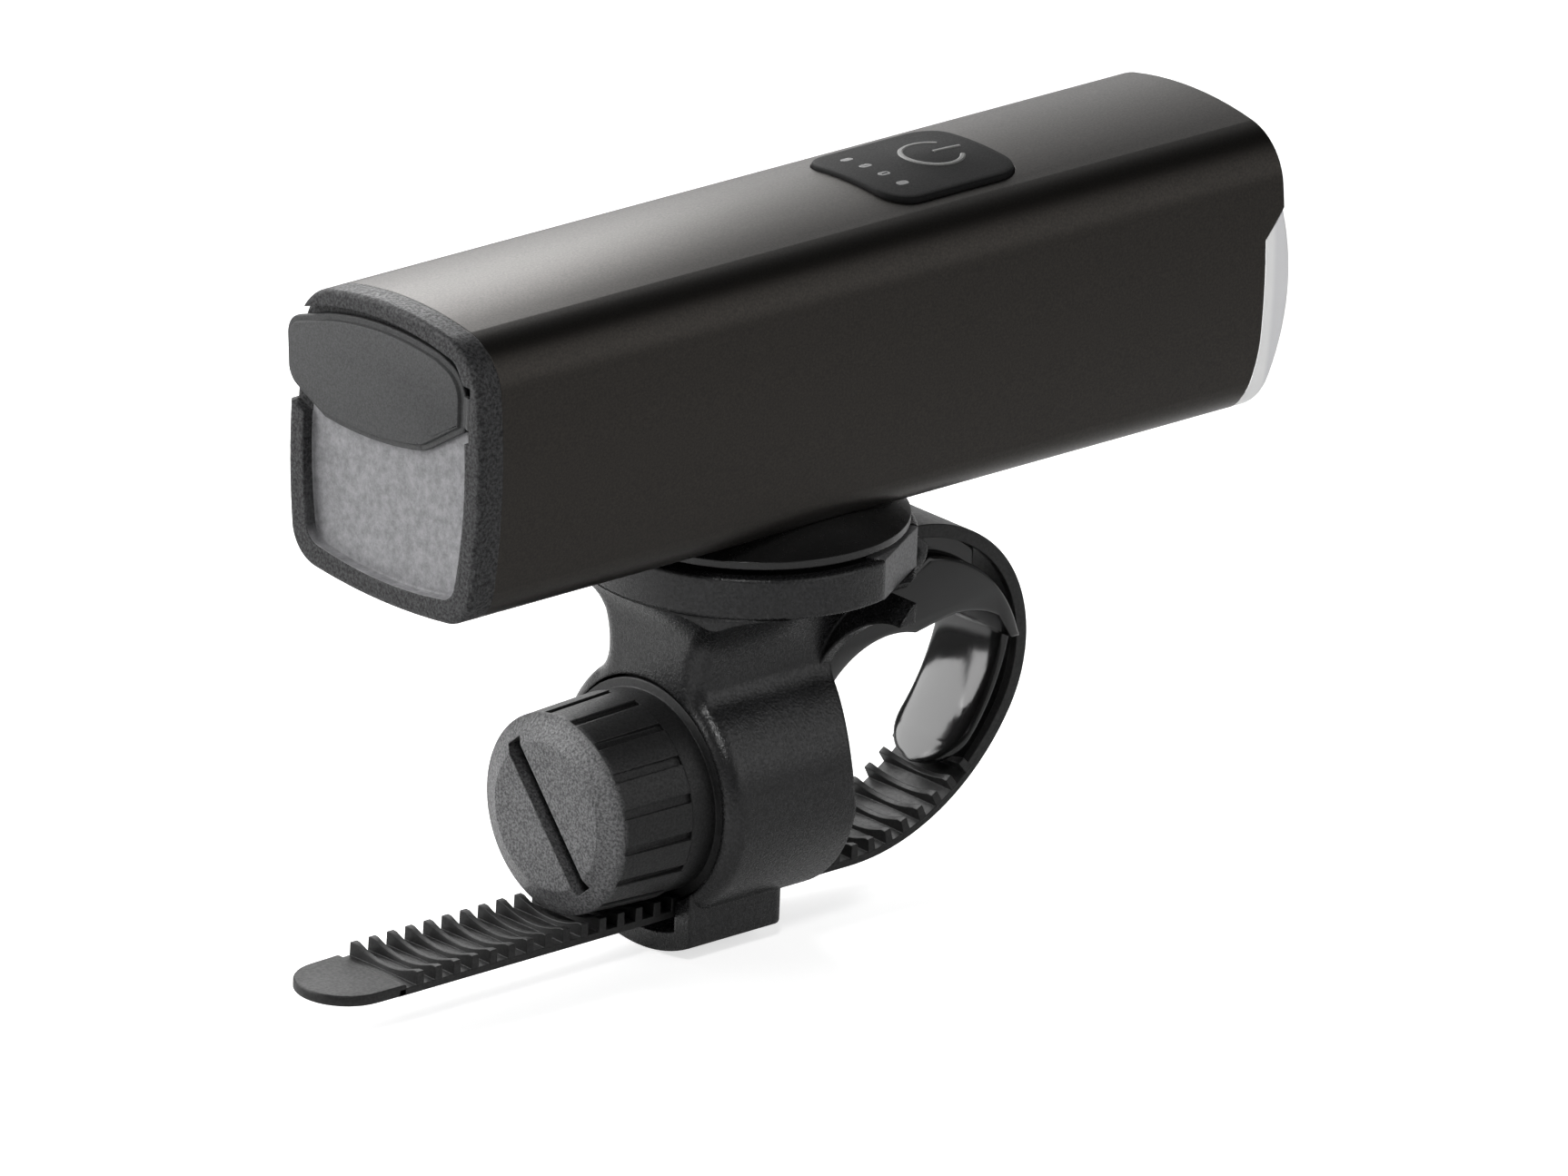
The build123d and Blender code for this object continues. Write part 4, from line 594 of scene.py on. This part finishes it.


# Lens. One polycarbonate moulding, clear over the emitters and frosted down its sides, which are
# pale, with a whiter band towards the housing painted on as painted light, standing for the stray
# light in the frost. It plugs into the housing behind a seal.
polycarbonate_ior = 1.58
frost_mark_mm = 0.3
clear_roughness, clear_passes = 0.03, 0.95
seam_back_mm, seam_light_start_mm, seam_light_end_mm = 3.7, 0.9, 1.5
frosted_tilt, clear_tilt = 0.86, 0.95
lens_frost = new_material("frosted_polycarbonate", "c9c9ca", 0.0, 0.3)
tree = lens_frost.node_tree
shader = tree.nodes["Principled BSDF"]
shader.inputs["IOR"].default_value = polycarbonate_ior
seam_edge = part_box("lens")[1].x - seam_back_mm * millimetre
place = add(tree, "ShaderNodeTexCoord")
axes = add(tree, "ShaderNodeSeparateXYZ", {0: place.outputs["Object"]})
# The frosted sides are painted whiter towards the housing, as painted light.
past_seam = add(tree, "ShaderNodeMapRange", {
    "Value": axes.outputs["X"],
    "From Min": seam_edge + seam_light_start_mm * millimetre,
    "From Max": seam_edge + seam_light_end_mm * millimetre,
})
seam_light_ramp = add(tree, "ShaderNodeValToRGB", {0: past_seam.outputs["Result"]})
seam_light_ramp.color_ramp.elements[0].color = hex_colour("fafafa")
seam_light_ramp.color_ramp.elements[1].color = hex_colour("e8e8ea")
frost = add(tree, "ShaderNodeTexNoise", {
    "Vector": place.outputs["Object"], "Scale": per_metre(frost_mark_mm),
})
frosted = add(tree, "ShaderNodeMapRange", {
    "Value": frost.outputs["Fac"], "To Min": 0.28, "To Max": 0.4,
})
# The faces that look forwards or back, over the emitters, are the clear ones.
facing = add(tree, "ShaderNodeSeparateXYZ", {0: place.outputs["Normal"]})
facing = add(tree, "ShaderNodeMath", {0: facing.outputs["X"]}, operation="ABSOLUTE")
clear = add(tree, "ShaderNodeMapRange", {
    "Value": facing.outputs[0], "From Min": frosted_tilt, "From Max": clear_tilt,
})
polished = add(tree, "ShaderNodeMix", {
    "Factor": clear.outputs["Result"], "A": seam_light_ramp.outputs["Color"], "B": hex_colour("ffffff"),
}, data_type="RGBA")
smooth = add(tree, "ShaderNodeMapRange", {
    "Value": clear.outputs["Result"],
    "To Min": frosted.outputs["Result"], "To Max": clear_roughness,
})
passing = add(tree, "ShaderNodeMath", {
    0: clear.outputs["Result"], 1: clear_passes,
}, operation="MULTIPLY")
tree.links.new(polished.outputs["Result"], shader.inputs["Base Color"])
tree.links.new(smooth.outputs["Result"], shader.inputs["Roughness"])
tree.links.new(passing.outputs[0], shader.inputs["Transmission Weight"])
paint("lens", lens_frost)


# Swivel foot. Black acetal, moulded smooth, hollowed to sit on the housing's belly and held
# there by two screws from below. It has a low even sheen and hardly any grain.
foot_acetal = new_material("smooth_black_acetal", "131313", 0.0, 0.3)
grain(foot_acetal, 0.6, 0.002, ("121212", "161616"), (0.26, 0.34), 0.2)
paint("lamp_foot", foot_acetal)


# Bracket. One moulding of glass-filled nylon with a coarse spark-eroded grain that glitters:
# ring cup, neck, worm barrel, band guide and bar seat. The latch plate is a paler nylon, and
# the cover that snaps in under the foot is a smooth one.
bracket_nylon = new_material("spark_eroded_bracket_nylon", "2c2c2d", 0.0, 0.45, specular=0.4)
grain(bracket_nylon, 0.3, 0.05, ("070707", "282829"), (0.2, 0.38), 0.5)
paint("bracket_body", bracket_nylon)

latch_nylon = new_material("moulded_latch_nylon", "3c3c3d", 0.0, 0.5)
grain(latch_nylon, 0.3, 0.02, ("505051", "686869"), (0.45, 0.6), 0.25)
paint("release_slider", latch_nylon)

cover_nylon = new_material("smooth_cover_nylon", "161616", 0.0, 0.4)
grain(cover_nylon, 0.5, 0.004, ("151515", "1b1b1b"), (0.35, 0.45), 0.15)
paint("ring_cover", cover_nylon)


# Knob and worm. Glass-filled nylon in one moulding, held in its barrel by a screw and washer. The
# face with the coin slot is grained and painted pale, as painted light, and the grooved flanks are
# painted dark, as painted shade.
face_end_mm, flank_start_mm = 0.9, 2.0
flank_shade_share = 0.9
knob_nylon = new_material("moulded_knob_nylon", "303031", 0.0, 0.45, specular=0.3)
shade = grain(knob_nylon, 0.26, 0.03, ("3a3a3b", "707071"), (0.34, 0.54), 0.25)
tree = knob_nylon.node_tree
knob_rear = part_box("worm_knob")[0].x
place = add(tree, "ShaderNodeTexCoord")
axes = add(tree, "ShaderNodeSeparateXYZ", {0: place.outputs["Object"]})
# By depth along the knob, the flanks are painted dark as painted shade, and the face keeps its pale
# painted light.
flank_painted_shade = add(tree, "ShaderNodeMapRange", {
    "Value": axes.outputs["X"],
    "From Min": knob_rear + face_end_mm * millimetre,
    "From Max": knob_rear + flank_start_mm * millimetre, "To Max": flank_shade_share,
})
colour = add(tree, "ShaderNodeMix", {
    "Factor": flank_painted_shade.outputs["Result"], "A": shade.outputs["Color"], "B": hex_colour("0c0c0c"),
}, data_type="RGBA")
tree.links.new(colour.outputs["Result"], tree.nodes["Principled BSDF"].inputs["Base Color"])
paint("worm_knob", knob_nylon)


# Toothed band. Moulded nylon: a smooth tongue-shaped tail, then cross ribs hollowed to the worm,
# then a channel between raised edges that bends round the bar up to the eye on the bracket's pin.
band_half_mm = 5.35
band_base_mm = 0.8
band_floor_mm = -14.4
band_bend_mm = -3.74
worm_axis_mm, worm_hollow_mm = -1.6, 11.5
tooth_pitch_mm, tooth_height_mm = 2.53, 2.25
tooth_root_half_mm, tooth_crest_half_mm, tooth_flare_mm = 0.52, 0.30, 0.18
tooth_waist_mm, tooth_steps = 3.6, 16
first_tooth_mm = -63.7
tail_tip_mm, tail_step_mm = -74.9, -65.6
eye_x_mm, eye_radius_mm, eye_steps = 1.6, 1.9, 24
arc_step_degrees = 2.5
# Each arc's radius in millimetres and how far it turns; the last one runs on to the eye.
band_arcs = ((25.55, 59.8), (15.4, 83.0), (18.93, None))
band_spans = []
bend_x, bend_z, heading = band_bend_mm, band_floor_mm, 0.0
for radius, turn in band_arcs:
    angle = math.radians(heading)
    centre_x, centre_z = bend_x - radius * math.sin(angle), bend_z + radius * math.cos(angle)
    if turn is None:
        eye_share = (eye_x_mm - centre_x) / (radius - eye_radius_mm)
        turn = 180 - math.degrees(math.asin(eye_share)) - heading
    band_spans.append((centre_x, centre_z, radius, heading, turn))
    heading += turn
    angle = math.radians(heading)
    bend_x, bend_z = centre_x + radius * math.sin(angle), centre_z - radius * math.cos(angle)


def band_place(span, turn, across, rise):
    """A place over the band's outer face: which arc, how far round it, across, and height."""
    centre_x, centre_z, radius, start, _ = band_spans[span]
    angle = math.radians(start + turn)
    arm = radius - rise
    return (centre_x + arm * math.sin(angle), across, centre_z - arm * math.cos(angle))


def band_strip(shell, y_low, y_high, rise_low, rise_high, first_turn, straight_from=None):
    """A strip that follows the band's arcs, from a turn on the first one up to the eye."""
    corners = ((y_low, rise_low), (y_high, rise_low), (y_high, rise_high), (y_low, rise_high))
    rows = []
    if straight_from is not None:
        rows.append([(straight_from, y, band_floor_mm + rise) for y, rise in corners])
    for span, (*_, whole) in enumerate(band_spans):
        low = first_turn if span == 0 else 0
        steps = math.ceil((whole - low) / arc_step_degrees)
        for step in range(0 if span == 0 else 1, steps + 1):
            turn = low + (whole - low) * step / steps
            rows.append([band_place(span, turn, y, rise) for y, rise in corners])
    shell.stack(rows)


def band_tooth(shell, put):
    """One cross rib: full at its ends, thinner between them, hollowed to the worm's round."""
    rows = []
    for step in range(tooth_steps + 1):
        y = band_half_mm * (2 * step / tooth_steps - 1)
        hollow = (worm_axis_mm - band_floor_mm) - math.sqrt(worm_hollow_mm ** 2 - y * y)
        crest = min(tooth_height_mm, hollow)
        outward = max(0, (abs(y) - tooth_waist_mm) / (band_half_mm - tooth_waist_mm))
        slim = tooth_crest_half_mm + tooth_flare_mm * outward
        rows.append([put(run, y, rise) for run, rise in (
            (-tooth_root_half_mm, band_base_mm - 0.2), (tooth_root_half_mm, band_base_mm - 0.2),
            (slim, crest), (-slim, crest),
        )])
    shell.stack(rows)


band = Shell()
band_strip(band, -band_half_mm, band_half_mm, 0, band_base_mm, 0, tail_step_mm - 1)
# The channel's walls stand a hair proud of the base, so that no two faces lie in one plane.
last_tooth_turn = 43.0
wall_thick_mm, wall_height_mm, wall_lift_mm = 1.0, 1.5, 0.04
wall_outer_mm, wall_inner_mm = band_half_mm + 0.03, band_half_mm - wall_thick_mm
for y_low, y_high in ((wall_inner_mm, wall_outer_mm), (-wall_outer_mm, -wall_inner_mm)):
    band_strip(band, y_low, y_high, wall_lift_mm, wall_height_mm, last_tooth_turn)
tail_centre_mm = tail_tip_mm + band_half_mm
tail_angles = [math.radians(a) for a in range(0, 181, 9)]
tail_loop = [
    Vector((tail_centre_mm - band_half_mm * math.sin(a), band_half_mm * math.cos(a)))
    for a in tail_angles
] + [Vector((tail_step_mm, -band_half_mm)), Vector((tail_step_mm, band_half_mm))]
band.stack([
    [(p.x, p.y, band_floor_mm + rise) for p in drawn_in(tail_loop, inset)]
    for rise, inset in ((0, 0.12), (0.15, 0), (0.95, 0), (1.13, 0.08), (1.2, 0.28))
])
straight_teeth = math.floor((band_bend_mm - first_tooth_mm) / tooth_pitch_mm) + 1
for i in range(straight_teeth):
    x = first_tooth_mm + i * tooth_pitch_mm
    band_tooth(band, lambda run, y, rise: (x + run, y, band_floor_mm + rise))
pitch_radius = band_spans[0][2] - band_base_mm / 2
past_bend_mm = first_tooth_mm + straight_teeth * tooth_pitch_mm - band_bend_mm
turned = math.degrees(past_bend_mm / pitch_radius)
while turned < last_tooth_turn:
    band_tooth(band, lambda run, y, rise: band_place(
        0, turned + math.degrees(run / pitch_radius), y, rise))
    turned += math.degrees(tooth_pitch_mm / pitch_radius)
eye_centre_x, eye_centre_z, eye_arc, _, _ = band_spans[-1]
eye_z_mm = eye_centre_z + math.sqrt((eye_arc - eye_radius_mm) ** 2 - (eye_x_mm - eye_centre_x) ** 2)
eye_angles = [step * 2 * math.pi / eye_steps for step in range(eye_steps)]
eye_loop = [
    (eye_x_mm + eye_radius_mm * math.cos(a), eye_z_mm + eye_radius_mm * math.sin(a))
    for a in eye_angles
]
band.stack([[(x, y, z) for x, z in eye_loop] for y in (-band_half_mm, band_half_mm)])
band_nylon = new_material("flexible_moulded_nylon", "242424", 0.0, 0.42, specular=0.28)
grain(band_nylon, 0.35, 0.006, ("161616", "222222"), (0.38, 0.5), 0.1)
band.piece("toothed_band", band_nylon, "strap", "band_rubber", "bracket", 0.12)


# Bar pad. Glossy black rubber, moulded in a polished tool: a lining on the bar seat, a block over
# the bar with a rib in the band's channel, and a tongue that lies inside the band.
pad_half_mm = 6.7
pad_bore_mm = 11.15
seat_x_mm, seat_z_mm, seat_radius_mm = 10.4, 1.7, 23.95
pad_low_mm, pad_top_mm = -7.55, 17.75
nose, nose_step_mm, brow = (18.25, 7.0), 1.1, (12.4, 15.7)
bore_low, bore_high = (
    (pad_bore_mm * math.cos(math.radians(a)), pad_bore_mm * math.sin(math.radians(a)))
    for a in (215, 72)
)


def seat_x(z):
    """Where the bar seat's curve lies at a height."""
    return seat_x_mm - math.sqrt(seat_radius_mm ** 2 - (z - seat_z_mm) ** 2)


seat_low, seat_high = (seat_x(pad_low_mm), pad_low_mm), (seat_x(pad_top_mm), pad_top_mm)
pad_outline = (
    arc_through(seat_low, (seat_x_mm - seat_radius_mm, seat_z_mm), seat_high, 28)
    + [Vector(seat_high), Vector((2.9, pad_top_mm))]
    + arc_through((4.6, 18.85), brow, nose, 24)
    + [Vector(nose), Vector((nose[0] - nose_step_mm, nose[1]))]
    + arc_through((15.2, 9.9), (10.9, 11.35), (6.4, 11.2), 10)
    + arc_through(bore_high, (-pad_bore_mm, 0), bore_low, 36)
    + [Vector(bore_low)]
)
pad = Shell()
pad.stack([[(p.x, y, p.y) for p in drawn_in(pad_outline, inset)] for y, inset in (
    (-pad_half_mm, 0.35), (-pad_half_mm + 0.1, 0.13), (-pad_half_mm + 0.32, 0),
    (pad_half_mm - 0.32, 0), (pad_half_mm - 0.1, 0.13), (pad_half_mm, 0.35),
)])
rib_half_mm = band_half_mm - 1.3
rib_radius_mm = eye_arc - band_base_mm - 0.3
rib_rear_mm, rib_front_mm, rib_foot_mm, rib_top_mm = 4.6, 13.4, 14.6, 20.9
rib_steps = 24
rib_rows = []
for step in range(rib_steps + 1):
    x = rib_rear_mm + (rib_front_mm - rib_rear_mm) * step / rib_steps
    channel = eye_centre_z + math.sqrt(rib_radius_mm ** 2 - (x - eye_centre_x) ** 2)
    top = min(channel, rib_top_mm)
    rib_rows.append([
        (x, -rib_half_mm, rib_foot_mm), (x, rib_half_mm, rib_foot_mm),
        (x, rib_half_mm, top), (x, -rib_half_mm, top),
    ])
pad.stack(rib_rows)
# The tongue's section, as shares of its half width and heights over the band in millimetres.
tongue_section = (
    (-1.0, 0.30), (-0.96, 0.10), (-0.88, 0.0), (0.88, 0.0), (0.96, 0.10), (1.0, 0.30),
    (1.0, 0.72), (0.97, 0.95), (0.92, 1.07), (0.8, 1.2), (0.6, 1.34), (0.3, 1.43),
    (0.0, 1.46), (-0.3, 1.43), (-0.6, 1.34), (-0.8, 1.2), (-0.92, 1.07), (-0.97, 0.95),
    (-1.0, 0.72),
)
tongue_half_mm, tongue_tip_half_mm = 5.25, 0.2
tongue_core_mm, tongue_taper_mm, thinnest_share = 0.5, 3, 0.05
tongue_end, tongue_middle = (9.6, -7.5), (15.7, -0.3)
tongue_steps = 44
tongue_line = arc_through(nose, tongue_middle, tongue_end, tongue_steps) + [Vector(tongue_end)]
tongue_length = sum((tongue_line[i + 1] - tongue_line[i]).length for i in range(tongue_steps))
tongue_rows = []
run = 0.0
for i, here in enumerate(tongue_line):
    ahead = tongue_line[min(i + 1, tongue_steps)] - tongue_line[max(i - 1, 0)]
    ahead.normalize()
    inward = Vector((-ahead.y, ahead.x))
    if inward.dot(-here) < 0:
        inward = -inward
    left = tongue_length - run
    half = tongue_half_mm
    if left < tongue_half_mm:
        rounded_end = tongue_half_mm ** 2 - (tongue_half_mm - left) ** 2
        half = math.sqrt(max(rounded_end, tongue_tip_half_mm ** 2))
    swell = min(max(left / tongue_taper_mm, thinnest_share), 1) ** 0.5
    row = []
    for share, lift in tongue_section:
        spot = here + inward * (tongue_core_mm + (lift - tongue_core_mm) * swell)
        row.append((spot.x, share * half, spot.y))
    tongue_rows.append(row)
    if i < tongue_steps:
        run += (tongue_line[i + 1] - here).length
pad.stack(tongue_rows)
pad_rubber = new_material("polished_black_rubber", "101010", 0.0, 0.1, specular=0.55)
grain(pad_rubber, 3.0, 0.010, ("0b0b0b", "101010"), (0.07, 0.12), 0.4)
pad.piece("bar_seat_pad", pad_rubber, "bar_pad", "pad_rubber", "bracket", 0.1, 40)


# What lies inside, and the small fixings: seals, screws, boards, cell, reflector and emitters.
# Plated steel, milled aluminium, circuit laminate and moulded plastics, each with its own shades,
# how much of a metal it is, its gloss, and the pieces that are made of it.
inner_finishes = {
    "sealing_silicone": ("2a2a2a", "323232", 0.0, (0.5, 0.65), ("cap_gasket", "lens_gasket")),
    "zinc_plated_steel": ("bdbbb6", "cfcdc8", 1.0, (0.25, 0.4), (
        "cap_screws", "foot_screws", "knob_screw", "knob_washer", "latch_spring", "usb_port",
        "battery_tabs",
    )),
    "blackened_steel_pin": ("1c1c1c", "262626", 1.0, (0.4, 0.5), ("strap_pin",)),
    "green_circuit_laminate": ("1d4a30", "235638", 0.0, (0.35, 0.5), (
        "control_board", "charge_board",
    )),
    "white_metal_core_board": ("dcdcd8", "e8e8e4", 0.0, (0.35, 0.5), ("led_board",)),
    "emitter_phosphor": ("e0ca52", "e8d25a", 0.0, (0.3, 0.4), ("led_emitters", "indicator_leds")),
    "vacuum_metallised_plastic": ("d8d8d8", "e4e4e4", 1.0, (0.06, 0.12), ("reflector",)),
    "milled_aluminium": ("bcbdc0", "cccdd0", 1.0, (0.28, 0.4), ("heat_block",)),
    "shrunk_cell_film": ("27609a", "2b6aa8", 0.0, (0.25, 0.35), ("battery_cell",)),
    "moulded_tray_plastic": ("181818", "222222", 0.0, (0.45, 0.6), ("battery_tray",)),
    "moulded_switch_plastic": ("181818", "202020", 0.0, (0.35, 0.5), (
        "switch_body", "switch_plunger",
    )),
}
for name, (dark, pale, metallic, gloss, pieces) in inner_finishes.items():
    finish = new_material(name, dark, metallic, gloss[0])
    grain(finish, 0.4, 0.004, (dark, pale), gloss, 0.1)
    for piece in pieces:
        paint(piece, finish)
